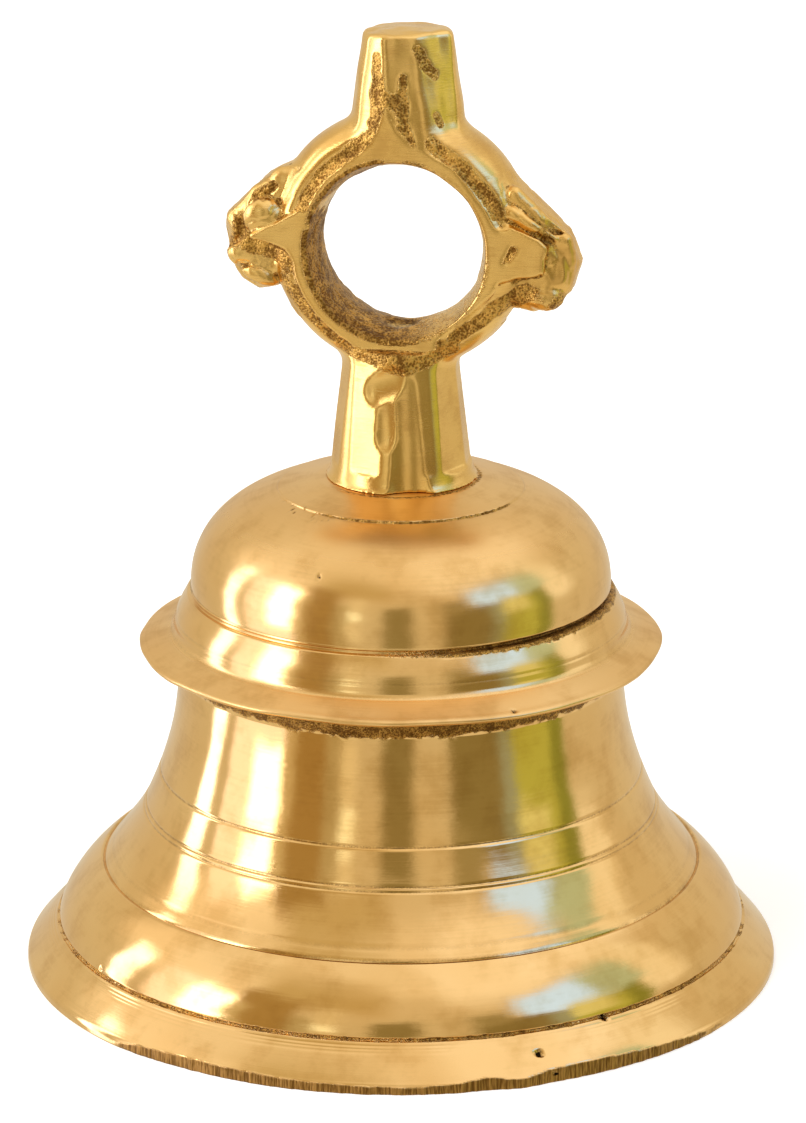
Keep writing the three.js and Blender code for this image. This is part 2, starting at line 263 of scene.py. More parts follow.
def saw_radius(turn):
    """Where the lip was sawn off, as the saw wandered in and out round the rim."""
    wander = 0.14 * wave(turn, 12, range(2, 9)) + 0.10 * wave(turn, 16, range(9, 40), 0.4)
    sides = 0.22 * bump_at(turn, -0.50, 0.24) + 0.26 * bump_at(turn, 0.47, 0.15)
    sides = sides - 0.55 * smoothstep(0.62, 1.35, turn) - 0.7 * smoothstep(-0.66, -0.92, turn)
    lobe = 0.45 * bump_at(turn, 0.31, 0.05) - 0.35 * bump_at(turn, 0.22, 0.05)
    return MOUTH + 0.06 - sides + lobe + wander


def shell_shape(p, r, z):
    """Moves the lathe's points (r, z) for the hand-made unevenness. Returns r, z and how far each point lay
    beyond the saw cut."""
    # the lip droops outwards a little at both sides of the front
    droop = smoothstep(8.0, 3.0, z) * smoothstep(66, 71, r)
    sides = 0.75 * bump_at(p.turn, -0.50, 0.34) + 0.65 * bump_at(p.turn, 0.50, 0.30)
    r = r + droop * (sides + 0.2 * wave(p.angle, 11, range(2, 9)))
    beyond = np.where(p.outer, r - saw_radius(p.turn), -1)
    r = r - np.clip(beyond, 0, None)
    flange = smoothstep(46.5, 50.5, r) * bump_at(z, 66, 2.2)
    z = z + flange * 0.28 * wave(p.angle, 13, range(2, 14), 0.5)
    r = r + flange * 0.30 * wave(p.angle, 14, range(2, 16), 0.5)
    under = bump_at(z, 64.6, 1.6) * smoothstep(43.5, 46, r)
    r = r - under * 0.25 * wave(p.angle, 15, range(5, 40), 0.3)
    # the groove over the shoulder band is shallow at the left
    notch = np.clip(41.8 - r, 0, None) * (np.abs(z - GROOVE) < 0.6) * p.outer
    r = r + notch * (0.75 - 0.75 * groove_share(p.turn))
    return r, z, beyond


def groove_share(turn):
    """How deep and pitted the groove over the shoulder band is, and how black its painted shade, from 0
    (left) to 1 (right).
    """
    return smoothstep(-0.35, 0.75, turn) * smoothstep(2.4, 1.3, turn)


def noise_ring(angle, along, cell, seed, radius=50):
    """Value noise on a surface of revolution, sampled on a cylinder so that it has no seam. A small radius
    draws it out along the circle."""
    points = np.stack([radius * np.cos(angle), radius * np.sin(angle), along], -1).reshape(-1, 3)
    return lattice_noise(points, cell, seed).reshape(angle.shape)


PITS = (
    # angle round the bell from the camera (radians), height, radius across, depth
    (0.372, 5.25, 0.75, 0.9),
    (0.405, 1.9, 0.75, 0.7),
    (0.60, 8.2, 0.65, 0.7),
    (-1.02, 9.4, 0.5, 0.5),
    (-0.43, 89.5, 0.35, 0.3),
    (0.44, 66.6, 0.35, 0.3),
)

TURNED_LINES = (
    # height, depth, width, share filled with soil
    (39.4, 0.22, 0.30, 0.75),
    (32.45, 0.22, 0.24, 0.75),
    (31.6, 0.18, 0.22, 0.6),
    (71.2, 0.08, 0.22, 0.25),
    (68.7, 0.06, 0.20, 0.2),
    (22.6, 0.06, 0.22, 0.2),
)

LIP_LINES = (
    # height, depth of the fine lines under the lip's groove
    (7.6, 0.06),
    (7.1, 0.05),
    (6.6, 0.05),
)


class ShellPoints:
    """The lathe's points, as rings by points round each ring. Turn is the angle from the camera."""

    def __init__(self, around):
        outline, outside = shell_outline()
        shape = (len(outline), around)
        self.angle = np.broadcast_to(np.linspace(0, 2 * math.pi, around, endpoint=False), shape)
        self.turn = (self.angle + math.pi / 2 - VIEW_AZIMUTH + math.pi) % (2 * math.pi) - math.pi
        self.r = np.repeat(outline[:, :1], around, 1)
        self.z = np.repeat(outline[:, 1:], around, 1)
        self.along = np.repeat(arc_lengths(outline)[:, None], around, 1)
        self.normal = outward_normals(outline)
        self.outer = np.broadcast_to((np.arange(len(outline)) < outside)[:, None], shape)
        self.outside = self.outer & (self.z > 0.2)
        self.speck = noise_ring(self.angle, self.along, 0.9, 21)
        self.broad = noise_ring(self.angle, self.along, 4.0, 22)
        self.grains = 0.6 * self.speck + 0.4 * noise_ring(self.angle, self.along, 1.9, 23)


def shell_cast(p):
    """How rough (as cast) each point of the outside is."""
    # the band left as cast under the flange
    front = np.clip(np.cos(p.turn), 0, 1)
    band_low = 62.9 - 2.5 * front**0.6 + 0.6 * p.broad
    band = smoothstep(band_low - 0.5, band_low + 0.5, p.z + 0.9 * p.grains)
    cast = band * smoothstep(66.2, 65.2, p.z) * (p.r < 51.2)
    # the pitted groove over the shoulder band
    share = groove_share(p.turn)
    near = bump_at(p.z, GROOVE - 0.3, 0.40 + 0.50 * share) * (p.r > 40)
    groove = smoothstep(0.42, 0.72, near + 0.4 * p.grains * share)
    cast = np.maximum(cast, groove * (0.12 + 0.88 * share))
    # the groove over the lip
    near = bump_at(p.z, LIP_GROOVE - 0.1, 0.45) * (p.r > 67.5)
    cast = np.maximum(cast, smoothstep(0.5, 0.8, near + 0.4 * p.grains) * (0.65 + 0.35 * p.broad))
    # the seat line on the dome, which fades to specks at its left
    seen = smoothstep(-0.85, -0.5, p.turn) * smoothstep(1.15, 0.95, p.turn)
    near = bump_at(p.r, SEAT_LINE, 0.30) * (p.z > 96)
    cast = np.maximum(cast, 0.9 * seen * smoothstep(0.5, 0.85, near + 0.35 * p.grains))
    left = smoothstep(-1.35, -1.0, p.turn) * smoothstep(-0.45, -0.7, p.turn)
    specks = smoothstep(0.52, 0.7, p.speck) * left
    cast = np.maximum(cast, specks * bump_at(p.r, SEAT_LINE + 0.8, 1.3) * (p.z > 95))
    # the ring of grit round the stem's foot
    near = bump_at(p.r, STEM_EDGE, 0.40) * (p.z > 98)
    grit = smoothstep(0.45, 0.8, near + 0.5 * p.grains) * smoothstep(-1.2, -0.5, p.turn)
    return np.where(p.outside & (p.r > 15), np.maximum(cast, grit), 0)


def pit_masks(p):
    """Each casting pit's mask and depth."""
    for where, height, size, depth in PITS:
        gap = np.hypot((p.turn - where) * p.r, p.z - height)
        yield smoothstep(size, 0.45 * size, gap) * p.outside, depth


def shell_soil(p, cast):
    """How dirty and shaded each point is: up to 1 is soil and painted shade, and past that the black
    painted shade at the bottom of a pit or groove.
    """
    # darker under the flange: soil in the cast band's grain, and painted shade under the flange's overhang
    soil = cast * (0.75 + 0.45 * (p.z < 66) * (p.z > 58))
    # a dark line along the step over the roll: soil, and painted shade that is heavier at the right, away
    # from the light
    by_step = bump_at(p.z, STEP, 0.30) * (p.r < 59.9) * p.outside
    soil = np.maximum(soil, 0.6 * by_step * (0.75 + 0.25 * np.sin(p.turn)))
    # painted shade: the groove over the shoulder band turns black towards the right
    in_groove = bump_at(p.z, GROOVE, 0.45) * (p.r < 41.75) * p.outside
    soil = np.maximum(soil, 1.6 * in_groove * groove_share(p.turn))
    for height, _, width, filled in TURNED_LINES:
        soil = np.maximum(soil, filled * bump_at(p.z, height + 0.08, 0.7 * width) * p.outside)
    # painted shade: the bottom of each casting pit is painted black
    for pit, _ in pit_masks(p):
        soil = np.maximum(soil, 2.0 * pit)
    return np.clip(np.maximum(soil, 0.35 * ~p.outer), 0, 2)


def shell_depth(p, cast, inside_cast):
    """How far below the lathe's outline each point lies."""
    deep = 0.10 * cast * (0.6 + 0.9 * p.speck)
    for height, depth, width, _ in TURNED_LINES:
        deep = deep + depth * bump_at(p.z, height, width) * p.outside
    on_lip = p.outside * (p.r > 68.5) * (0.6 + 0.4 * np.cos(p.turn + 1))
    for height, depth in LIP_LINES:
        deep = deep + depth * bump_at(p.z, height, 0.14) * on_lip
    for pit, depth in pit_masks(p):
        deep = deep + depth * pit
    chatter = np.sin(p.along * 2 * math.pi / 2.4 + 2 * wave(p.angle, 31, range(1, 5)))
    deep = deep + 0.05 * chatter * ~p.outer + 0.10 * inside_cast * p.speck
    # the hand's pressure on the tool left the outside very slightly wavy
    return deep + 0.016 * p.outside * noise_ring(p.angle, p.along, 2.6, 24, 15)


def shell_dullness(p):
    dull = 0.16 * smoothstep(84, 95, p.z) * p.outside + 0.05 * p.outside * (p.z > 64)
    dull = dull + 0.22 * p.outside * bump_at(p.z, 67, 2.0) * (p.r > 45)
    return np.maximum(dull, 0.1 * ~p.outer)


def make_shell():
    p = ShellPoints(720 // COARSER)
    cast = shell_cast(p)
    # the inside is left as cast at the top and roughly turned below
    inside_cast = ~p.outer * smoothstep(10, 40, p.z + 6 * p.speck)
    deep = shell_depth(p, cast, inside_cast)
    r, z, beyond = shell_shape(p, p.r - p.normal[:, :1] * deep, p.z - p.normal[:, 1:] * deep)
    ragged = 0.12 * noise_ring(p.angle, p.along, 0.8, 26)
    sawn = smoothstep(-0.10, 0.10, beyond + ragged) * p.outer * (p.z < 6)
    r = r - 0.16 * sawn * noise_ring(p.angle, 0.15 * p.along, 0.9, 25, 75)
    z = np.maximum(z, 0)
    points = np.stack([r * np.cos(p.angle), r * np.sin(p.angle), z], -1).reshape(-1, 3)
    masks = {
        "along": p.along,
        "cast": np.clip(np.maximum(cast, inside_cast), 0, 1),
        "soil": shell_soil(p, cast),
        "sawn": sawn,
        "dull": shell_dullness(p),
    }
    faces = ring_faces(*p.r.shape, True)
    return mesh_object("bell_body", points, faces, {name: mask.ravel() for name, mask in masks.items()})


# ----- solids as distance fields, for the rough casting of the crown -----
def blend_in(a, b, reach):
    """The union of two fields, filleted over about that reach."""
    h = np.clip(0.5 + 0.5 * (b - a) / reach, 0, 1)
    return b * (1 - h) + a * h - reach * h * (1 - h)


def carve(a, b, reach):
    """Field a with b cut out of it, with a rounded edge."""
    return -blend_in(-a, b, reach)


class Space:
    """The grid that a field is sampled on."""

    def __init__(self, low_corner, high_corner, step):
        self.step = step
        self.low = np.array(low_corner, float)
        counts = np.ceil((np.array(high_corner) - self.low) / step).astype(int) + 1
        axes = [self.low[k] + step * np.arange(counts[k]) for k in range(3)]
        self.x = axes[0][:, None, None].astype(np.float32)
        self.y = axes[1][None, :, None].astype(np.float32)
        self.z = axes[2][None, None, :].astype(np.float32)

    def ellipsoid(self, centre, radii, tilt=0.0):
        """Tilt turns it about Y, from +X towards +Z."""
        cos, sin = math.cos(tilt), math.sin(tilt)
        dx, dy, dz = self.x - centre[0], self.y - centre[1], self.z - centre[2]
        u = (dx * cos + dz * sin) / radii[0]
        v = dy / radii[1]
        w = (-dx * sin + dz * cos) / radii[2]
        size = np.sqrt(u * u + v * v + w * w) + 1e-6
        slope = np.sqrt((u / radii[0]) ** 2 + (v / radii[1]) ** 2 + (w / radii[2]) ** 2) + 1e-6
        return size * (size - 1) / slope

    def capsule(self, start, end, radius, end_radius=None):
        """A rod with round ends, which may taper."""
        end_radius = radius if end_radius is None else end_radius
        axis = np.array(end, float) - np.array(start, float)
        px, py, pz = self.x - start[0], self.y - start[1], self.z - start[2]
        t = np.clip((px * axis[0] + py * axis[1] + pz * axis[2]) / axis.dot(axis), 0, 1)
        gap = np.sqrt((px - t * axis[0]) ** 2 + (py - t * axis[1]) ** 2 + (pz - t * axis[2]) ** 2)
        return gap - (radius + (end_radius - radius) * t)

    def string(self, points, radius, end_radius):
        """Capsules along a row of points."""
        sizes = np.linspace(radius, end_radius, len(points))
        fields = [self.capsule(*pair) for pair in zip(points, points[1:], sizes, sizes[1:])]
        return np.minimum.reduce(fields)


def polygon(s, corners):
    """Distance from an outline in the XZ plane, negative inside it."""
    nearest, inside = np.inf, False
    for (ax, az), (bx, bz) in zip(corners, corners[1:] + corners[:1]):
        ex, ez = bx - ax, bz - az
        t = np.clip(((s.x - ax) * ex + (s.z - az) * ez) / (ex * ex + ez * ez), 0, 1)
        nearest = np.minimum(nearest, np.hypot(s.x - ax - t * ex, s.z - az - t * ez))
        inside = inside ^ (((az > s.z) != (bz > s.z)) & (s.x < ex * (s.z - az) / ez + ax))
    return np.where(inside, -nearest, nearest)


def slab(s, corners, front, back, softness):
    """An outline in the XZ plane given a thickness along Y, with rounded edges."""
    depth = np.maximum(front - s.y, s.y - back)
    return -blend_in(-polygon(s, corners), -depth, softness)


def facet(s, through, direction):
    """The distance beyond a plane."""
    normal = Vector(direction).normalized()
    away = [(axis - at) * n for axis, at, n in zip((s.x, s.y, s.z), through, normal)]
    return away[0] + away[1] + away[2]


def surface_net(field, space):
    """A closed mesh of quads where the field crosses zero. The field is negative inside."""
    # the cells that the surface passes through, which get a point each
    inside = field < 0
    counts = [k - 1 for k in field.shape]
    corners = np.zeros(counts, np.int8)
    for i in (0, 1):
        for j in (0, 1):
            for k in (0, 1):
                corners += inside[i : counts[0] + i, j : counts[1] + j, k : counts[2] + k]
    mixed = (corners > 0) & (corners < 8)
    cells = np.argwhere(mixed)
    number = np.full(mixed.shape, -1, np.int64)
    number[mixed] = np.arange(len(cells))
    total, hits = np.zeros((len(cells), 3)), np.zeros(len(cells))
    quads = []
    for axis in range(3):
        first, second = (k for k in range(3) if k != axis)
        along, side, up = (np.eye(3, dtype=int)[k] for k in (axis, first, second))
        # a point is the mean of the places where the surface crosses its cell's edges
        for a in (0, 1):
            for b in (0, 1):
                start = cells + a * side + b * up
                f0, f1 = field[tuple(start.T)], field[tuple((start + along).T)]
                cross = (f0 < 0) != (f1 < 0)
                share = f0[cross] / (f0[cross] - f1[cross])
                total[cross] += start[cross] + share[:, None] * along
                hits[cross] += 1
        # every edge that the surface crosses gets a quad between the four cells round it
        trimmed = [slice(None)] * 3
        trimmed[axis] = slice(None, -1)
        shifted = [slice(None)] * 3
        shifted[axis] = slice(1, None)
        edges = np.argwhere(inside[tuple(trimmed)] != inside[tuple(shifted)])
        ring = [number[tuple((edges - a * side - b * up).T)] for a, b in ((1, 1), (0, 1), (0, 0), (1, 0))]
        quad = np.stack(ring, -1)
        flip = inside[tuple(edges.T)] == (axis != 1)
        quad[~flip] = quad[~flip][:, ::-1]
        quads.append(quad)
    points = space.low + space.step * total / hits[:, None]
    return points, np.concatenate(quads)


# ----- crown hanger -----
RING = Vector((0.5, 0, 146.7))  # centre of the bore of the ring
HALF_DEPTH = 9.1  # of the ring, from its middle to its filed faces
FACE = -HALF_DEPTH  # the front face
FILED_DOWN_TO = 127  # the height down to which those faces are filed
FOOT = SEAT + 0.02  # the stem stands a hair above the dome
PEG_AXIS = (1.3, 0.3)
PEG_TOP = high("crown_hanger").z + 1.0  # the worn peg is domed over the frame's flat one


def ring_field(s):
    """The ring: a flat-faced band round the bore, and a fatter rounded body outside it."""
    across = np.hypot(s.x - RING.x, s.z - RING.z)
    # the body is an ellipse carried round a centre of its own
    middle, half_width, half_depth = 21.1, 4.6, 8.2
    u = (np.hypot(s.x - 0.3, s.z - 147.5) - middle) / half_width
    v = s.y / half_depth
    size = np.sqrt(u * u + v * v) + 1e-6
    body = size * (size - 1) / (np.sqrt((u / half_width) ** 2 + (v / half_depth) ** 2) + 1e-6)
    band_middle, band_half_width = 18.4, 2.1
    band = np.maximum(np.abs(across - band_middle) - band_half_width, np.abs(s.y) - HALF_DEPTH)
    return blend_in(body, band, 0.7)


def bore_field(s):
    """The bore, opening a little towards both faces."""
    radius, opening = 15.7, 1.9
    across = np.hypot(s.x - RING.x, s.z - RING.z)
    return (across - (radius + opening * (np.abs(s.y) / HALF_DEPTH) ** 1.6)) * 0.98


STEM_FLATS = (
    # flats filed across the front of the stem, as the file's path, and the softness of their edges
    (((-4, -15.9, 120), (0.6, -16.4, 122), 5.9), 0.08),
    (((-1.3, -18.1, 117), (-1, -18.5, 111.6), 6.6), 0.08),
    (((5.4, -19.6, 121.5), (6.2, -21, 102), 9.2), 0.15),
    (((2.2, -15.4, 121.5), (2.4, -16.4, 102.5), 3.4), 0.1),
)


def stem_field(s):
    """A tapered stem, filed to ten uneven flats, with a turned foot."""
    height = (s.z - FOOT) / (124.5 - FOOT)
    across = np.hypot(s.x + 0.3 * height - 0.2, s.y)
    radius = 14.15 - 2.8 * np.clip(height, -0.2, 1.3)
    flare = 1.0 * np.exp(-np.clip(s.z - FOOT, 0, None) / 0.8)
    stem = (across - radius - flare) * 0.99
    flats = 10
    fade = 3.0 * smoothstep(FOOT + 3.6, FOOT + 1.2, s.z)
    for k in range(flats):
        a = 2 * math.pi * (k + 0.3 * math.sin(5 * k)) / flats
        away = s.x * math.cos(a) + s.y * math.sin(a) - (radius - 0.42 - 0.14 * math.sin(3.7 * k))
        stem = np.maximum(stem, away * 0.99 - fade)
    for cut, depth in STEM_FLATS:
        stem = carve(stem, s.capsule(*cut), depth)
    return np.maximum(np.maximum(stem, FOOT - s.z), s.z - 128.0)


PEG_FLATS = (
    # a point (x, y) of each flat's top edge, the way it faces, and how it leans
    ((-2, -6.9), (-0.438, -0.899), 0.13),
    ((1.3, -6.1), (0.225, -0.974), 0.15),
    ((3.6, -5.5), (0.655, -0.756), 0.195),
)


def peg_field(s):
    """What is left of the casting's gate: a tapered peg with three rough flats cut on its front."""
    top = PEG_TOP - 0.05
    down = top - s.z
    across = np.hypot(s.x - PEG_AXIS[0], s.y - PEG_AXIS[1])
    peg = (across - 8.5 - 0.138 * down) * 0.98
    for through, direction, lean in PEG_FLATS:
        peg = -blend_in(-peg, -(facet(s, (*through, 0), (*direction, 0)) - lean * down), 0.5)
    dome = np.sqrt((s.x - PEG_AXIS[0]) ** 2 + s.y**2 + (s.z - top + 60) ** 2) - 60
    peg = -blend_in(-peg, -dome, 1.0)
    flute = [(8.6, -9.6, 178.0), (9.4, -10.9, 174.0), (11.4, -11.6, 169.0)]
    return np.maximum(carve(peg, s.string(flute, 3.0, 3.5), 0.35), 160.0 - s.z)


# outlines in the XZ plane
LEFT_LEAF = [
    (-19, 163), (-23.9, 160.7), (-26.2, 159.2), (-33.7, 151.8), (-34.7, 148.6), (-34.1, 143.8),
    (-31.2, 138.4), (-27.7, 136.7), (-24.2, 137.3), (-19, 141),
]
RIGHT_LEAF = [
    (19, 163.6), (23.4, 159.4), (27.6, 155.1), (32.8, 150), (35.4, 144.2), (34, 138.8), (30.6, 135.8),
    (26.4, 134.4), (22.9, 135.4), (19, 138),
]
LEFT_FLAT = [
    (-14, 156.6), (-18.4, 154), (-28.3, 149.2), (-28.1, 148.2), (-21.2, 146.3), (-18.2, 141.4), (-14, 140),
]
RIGHT_FLAT = [
    (14, 158), (18.6, 156.6), (22.6, 153), (28.2, 150.2), (29.7, 148.8), (29.3, 143.6), (26, 142.7),
    (18.6, 141), (14, 140.4),
]
LEFT_FACETS = (
    # a point on each flattened side of the leaf, and the way it faces
    ((-31.2, -4.6, 153.6), (-0.55, -0.72, 0.45)),
    ((-33, -3, 146), (-0.85, -0.52, -0.1)),
    ((-29, -5.2, 141), (-0.42, -0.74, -0.52)),
    ((-25, -5.4, 138.6), (0.15, -0.80, -0.58)),
    ((-31, 4.6, 150), (-0.6, 0.78, 0.2)),
    ((-28, 5.2, 140.6), (-0.1, 0.85, -0.5)),
)
RIGHT_FACETS = (
    ((30.2, -5.4, 153), (0.5, -0.74, 0.45)),
    ((25.4, -6.6, 156.8), (0.1, -0.80, 0.55)),
    ((34, -3.2, 147), (0.86, -0.5, 0.1)),
    ((30, -5, 138), (0.4, -0.72, -0.56)),
    ((31, 5, 150), (0.6, 0.78, 0.2)),
    ((28, 5.6, 139.6), (0.2, 0.85, -0.5)),
)
RIGHT_FOLDS = (
    # the path of each fold, and its radius at both ends
    ([(23, -5, 158.2), (27.4, -4.8, 153.8), (32.6, -3.6, 149.2)], 1.9, 1.6),
    ([(22.8, -6.6, 155), (26.4, -6.9, 152.9), (30.6, -5.6, 149.8)], 1.5, 1.2),
    ([(32.6, -4.6, 149.6), (33.6, -3.4, 145.4), (32.4, -3.2, 140.6)], 1.6, 1.4),
)


def leaf(s, outline, half_depth, facets):
    """A flat casting with soft edges and flattened sides."""
    body = slab(s, outline, -half_depth, half_depth, 5.0)
    for through, direction in facets:
        body = -blend_in(-body, -facet(s, through, direction), 0.5)
    return body


def left_lug(s):
    """A leaf with a fold along its top, three bosses, and a flat that runs out to it from the ring."""
    lug = leaf(s, LEFT_LEAF, 6.3, LEFT_FACETS)
    fold = [(-22.4, -3.6, 159.4), (-27.2, -4.2, 156.2), (-32.0, -3.6, 151.2)]
    lug = blend_in(lug, s.string(fold, 2.1, 1.5), 0.5)
    lug = blend_in(lug, s.ellipsoid((-25.9, -6.4, 152.3), (4.0, 2.5, 3.9)), 0.2)
    lug = blend_in(lug, s.ellipsoid((-31.2, -3.8, 144.2), (2.3, 2.6, 2.9), 0.4), 0.3)
    lug = blend_in(lug, s.ellipsoid((-27.2, -4.4, 140.6), (4.4, 2.7, 2.2), -0.5), 0.3)
    return blend_in(lug, slab(s, LEFT_FLAT, FACE, 0, 0.5), 0.5)


def right_lug(s):
    """A leaf with three folds and a boss under a scoop, and a flat that runs out to it from the ring."""
    lug = leaf(s, RIGHT_LEAF, 6.8, RIGHT_FACETS)
    for row, radius, end_radius in RIGHT_FOLDS:
        lug = blend_in(lug, s.string(row, radius, end_radius), 0.35)
    lug = blend_in(lug, s.ellipsoid((28.8, -4.2, 138.2), (4.0, 3.6, 2.9), 0.1), 0.4)
    lug = carve(lug, s.capsule((33.2, -9.2, 146.0), (32.4, -9.4, 143.2), 3.6), 0.3)
    return blend_in(lug, slab(s, RIGHT_FLAT, FACE, 0, 0.6), 0.5)


CREASES = (
    # hollows cut into the casting: the path, the radius at both ends, and how round the edge is
    # the two pitted hollows that run down the peg's front
    ([(-3.4, -8.6, 184.6), (-3, -9.8, 177), (-4.2, -10.8, 170), (-8.4, -10.4, 166.2)], 0.9, 1.5, 0.4),
    ([(1.8, -8.9, 180.4), (1.6, -10, 175.4), (3.4, -10.9, 168)], 0.9, 1.7, 0.4),
    # the rough trough between the band and the body, over the top of the ring
    ([(-8, -9.8, 166.2), (-14.3, -9.8, 161.2), (-17.6, -9.8, 155.2)], 1.2, 1.4, 0.5),
    ([(8.2, -10.2, 168.2), (14.8, -10, 162.2), (19, -10, 156.8), (21.2, -10, 153.6)], 1.4, 2.1, 0.5),
    # the deep split behind the left boss
    ([(-23.4, -7.4, 158.2), (-27.2, -7, 156.2), (-30, -6.6, 153), (-30.2, -6.2, 149.2)], 0.5, 1, 0.25),
    ([(-30, -6.6, 149.2), (-31, -5.6, 147.2), (-33.8, -3.8, 145.2)], 1.1, 0.5, 0.3),
    ([(-29.6, -7.4, 147), (-25.2, -8.6, 145.6), (-21.6, -9.6, 142)], 1.2, 1.5, 0.4),
    ([(-31.4, -5, 141.4), (-27.4, -7.2, 143.2)], 0.5, 0.5, 0.3),
    # folds and the small pit of the right lug
    ([(22, -8.4, 153.8), (26.6, -8.2, 151.6), (30.8, -6.6, 149.2), (31.8, -6.2, 146.8)], 0.8, 0.6, 0.3),
    ([(23.4, -7.6, 157.2), (27.6, -6.9, 153.6), (31, -5.6, 151.2)], 0.5, 0.5, 0.3),
    ([(29.6, -5.8, 153.2), (33.2, -4.2, 149.6), (33.8, -3.8, 147.6)], 0.45, 0.45, 0.3),
    ([(21.8, -9.5, 145.8), (23.4, -9.5, 148.4)], 0.7, 0.9, 0.2),
    # under the lugs
    ([(24.4, -9, 140.6), (18, -9.6, 135.4), (12, -10.2, 130.6), (9, -11, 128.8)], 1.9, 1.9, 0.7),
    ([(-22.4, -9.8, 139), (-18, -10.2, 135.6), (-12.8, -10.8, 129.6)], 1, 1.2, 0.5),
)


def crown_field(s):
    body = blend_in(blend_in(ring_field(s), left_lug(s), 0.6), right_lug(s), 0.6)
    body = blend_in(body, peg_field(s), 1.6)
    body = blend_in(body, stem_field(s), 2.4)
    # the front and back faces were filed flat
    body = np.maximum(body, np.abs(s.y) - np.where(s.z > FILED_DOWN_TO, HALF_DEPTH, 40))
    for points, radius, end_radius, reach in CREASES:
        body = carve(body, s.string(points, radius, end_radius), reach)
    body = carve(body, bore_field(s), 0.5)
    # the dimple over the bolt, and the bolt's hole from below
    body = carve(body, s.ellipsoid((0, 0, 131.3), (3.6, 3.6, 2.0)), 0.8)
    bolt_hole = np.maximum(np.hypot(s.x, s.y) - BORE, s.z - 126.5)
    return carve(body, bolt_hole, 0.25)


ROUGH_ZONES = (
    # places left as cast: the path and how far they reach from it
    ([(-3.6, -7, 184.4), (-3.2, -7, 181)], 1),
    ([(-3.1, -8, 180), (-2.9, -8, 175), (-3.6, -9, 170), (-8.4, -9, 166.4)], 1.7),
    ([(1.6, -7, 180.6), (1.4, -8, 176.4)], 1),
    ([(1.4, -8, 176.4), (1.8, -8, 172), (3.2, -9, 167.6)], 1.6),
    ([(-2.4, -8, 177), (1, -8, 175.6)], 1.9),
    ([(4.4, -5.6, 185.6), (5.6, -5.3, 183), (7.4, -4.4, 180.8)], 1.25),
    ([(7.9, -6.1, 173.2), (8.7, -5.9, 171.6)], 0.95),
    ([(-3.4, -9.2, 174.2), (0.6, -9.4, 169.6)], 1.7),
    ([(-8, -9, 166.6), (-14.4, -8.6, 161.2), (-17.4, -8.6, 156.4), (-17.8, -9, 154.2)], 1.35),
    (
        [(7.6, -9, 168.4), (12.2, -9, 165.2), (15.4, -8.6, 161.9), (18.4, -8.6, 158.2), (20.4, -8.6, 155)],
        1.6,
    ),
    ([(-24, -6, 158.2), (-27.4, -6, 155.8)], 1.1),
    ([(-30.6, -6, 150.6), (-30.4, -6, 147.8), (-33, -4, 145.6)], 1.7),
    ([(-28.6, -7, 146.8), (-24, -8, 145.2), (-21.4, -9, 143.4)], 2.6),
    ([(-22.8, -8, 140.2), (-18, -8, 135.6), (-12.4, -9, 129)], 1.8),
    ([(21.6, -9.2, 145.4), (23.4, -9.2, 148.4)], 1.1),
    ([(31, -5, 137.6), (25.6, -6, 139.4), (20, -7, 136)], 2.2),
    ([(20, -7, 136), (15.6, -7.6, 132.6), (11.8, -8, 130)], 1.5),
    ([(-9.6, -8, 127.6), (-4, -10, 126.6), (2, -11, 124.6), (8, -9, 126.4), (11, -7, 128)], 2.3),
    ([(-4, -9, 129.4), (0, -9, 128.4)], 1.2),
    ([(5.6, -9, 129), (9.6, -8, 129)], 1.3),
    ([(28.4, -7, 151.4), (30.2, -6, 149.6)], 1),
)


def zone_mask(points, stretch, reach):
    """1 near a row of points, 0 beyond its reach."""
    nearest = np.full(len(points), 1e9)
    for start, end in zip(stretch, stretch[1:]):
        start, axis = np.array(start), np.array(end, float) - np.array(start)
        t = np.clip((points - start) @ axis / axis.dot(axis), 0, 1)
        nearest = np.minimum(nearest, np.linalg.norm(points - start - t[:, None] * axis, axis=1))
    return smoothstep(reach * 1.25, reach * 0.55, nearest)


def vertex_normals(points, faces):
    a, b, c, d = (points[faces[:, k]] for k in range(4))
    face_normal = np.cross(c - a, d - b)
    total = np.zeros_like(points)
    for k in range(4):
        np.add.at(total, faces[:, k], face_normal)
    return total / np.maximum(np.linalg.norm(total, axis=1, keepdims=True), 1e-12)


def neighbour_mean(points, faces):
    """For each point, the mean of the points next to it."""
    total = np.zeros_like(points)
    count = np.zeros((len(points), 1))
    for k in range(4):
        for m in (1, 3):
            np.add.at(total, faces[:, k], points[faces[:, (k + m) % 4]])
            np.add.at(count, faces[:, k], 1)
    return total / count


class CrownPoints:
    """The casting's points, with the noise and the masks that its surface is worked out from. Hollow says
    how far each point lies in a hollow, in millimetres."""

    def __init__(self, points, hollow):
        self.points = points
        self.x, self.y, self.z = points.T
        self.hollow = hollow
        self.grains = 0.6 * lattice_noise(points, 0.95, 41) + 0.4 * lattice_noise(points, 2.0, 44)
        self.broad = lattice_noise(points, 4.2, 42)
        off_middle = np.abs(self.y)
        across = np.hypot(self.x - RING.x, self.z - RING.z)
        self.filed = smoothstep(HALF_DEPTH - 0.25, HALF_DEPTH - 0.05, off_middle) * (self.z > 127.4)
        in_bore = smoothstep(17.3, 16.6, across - 1.6 * (off_middle / HALF_DEPTH) ** 2) * (self.z < 165)
        self.in_bore = in_bore * (0.3 + 0.7 * smoothstep(9, -4, self.x))
        self.lug = smoothstep(21.5, 25.5, across) * (self.z < 162) * (self.z > 132) * (1 - self.filed)
        self.folds = lattice_noise(points + 0.8 * self.grains[:, None], 4.4, 45)
        self.crease = smoothstep(0.16, 0.0, np.abs(self.folds))


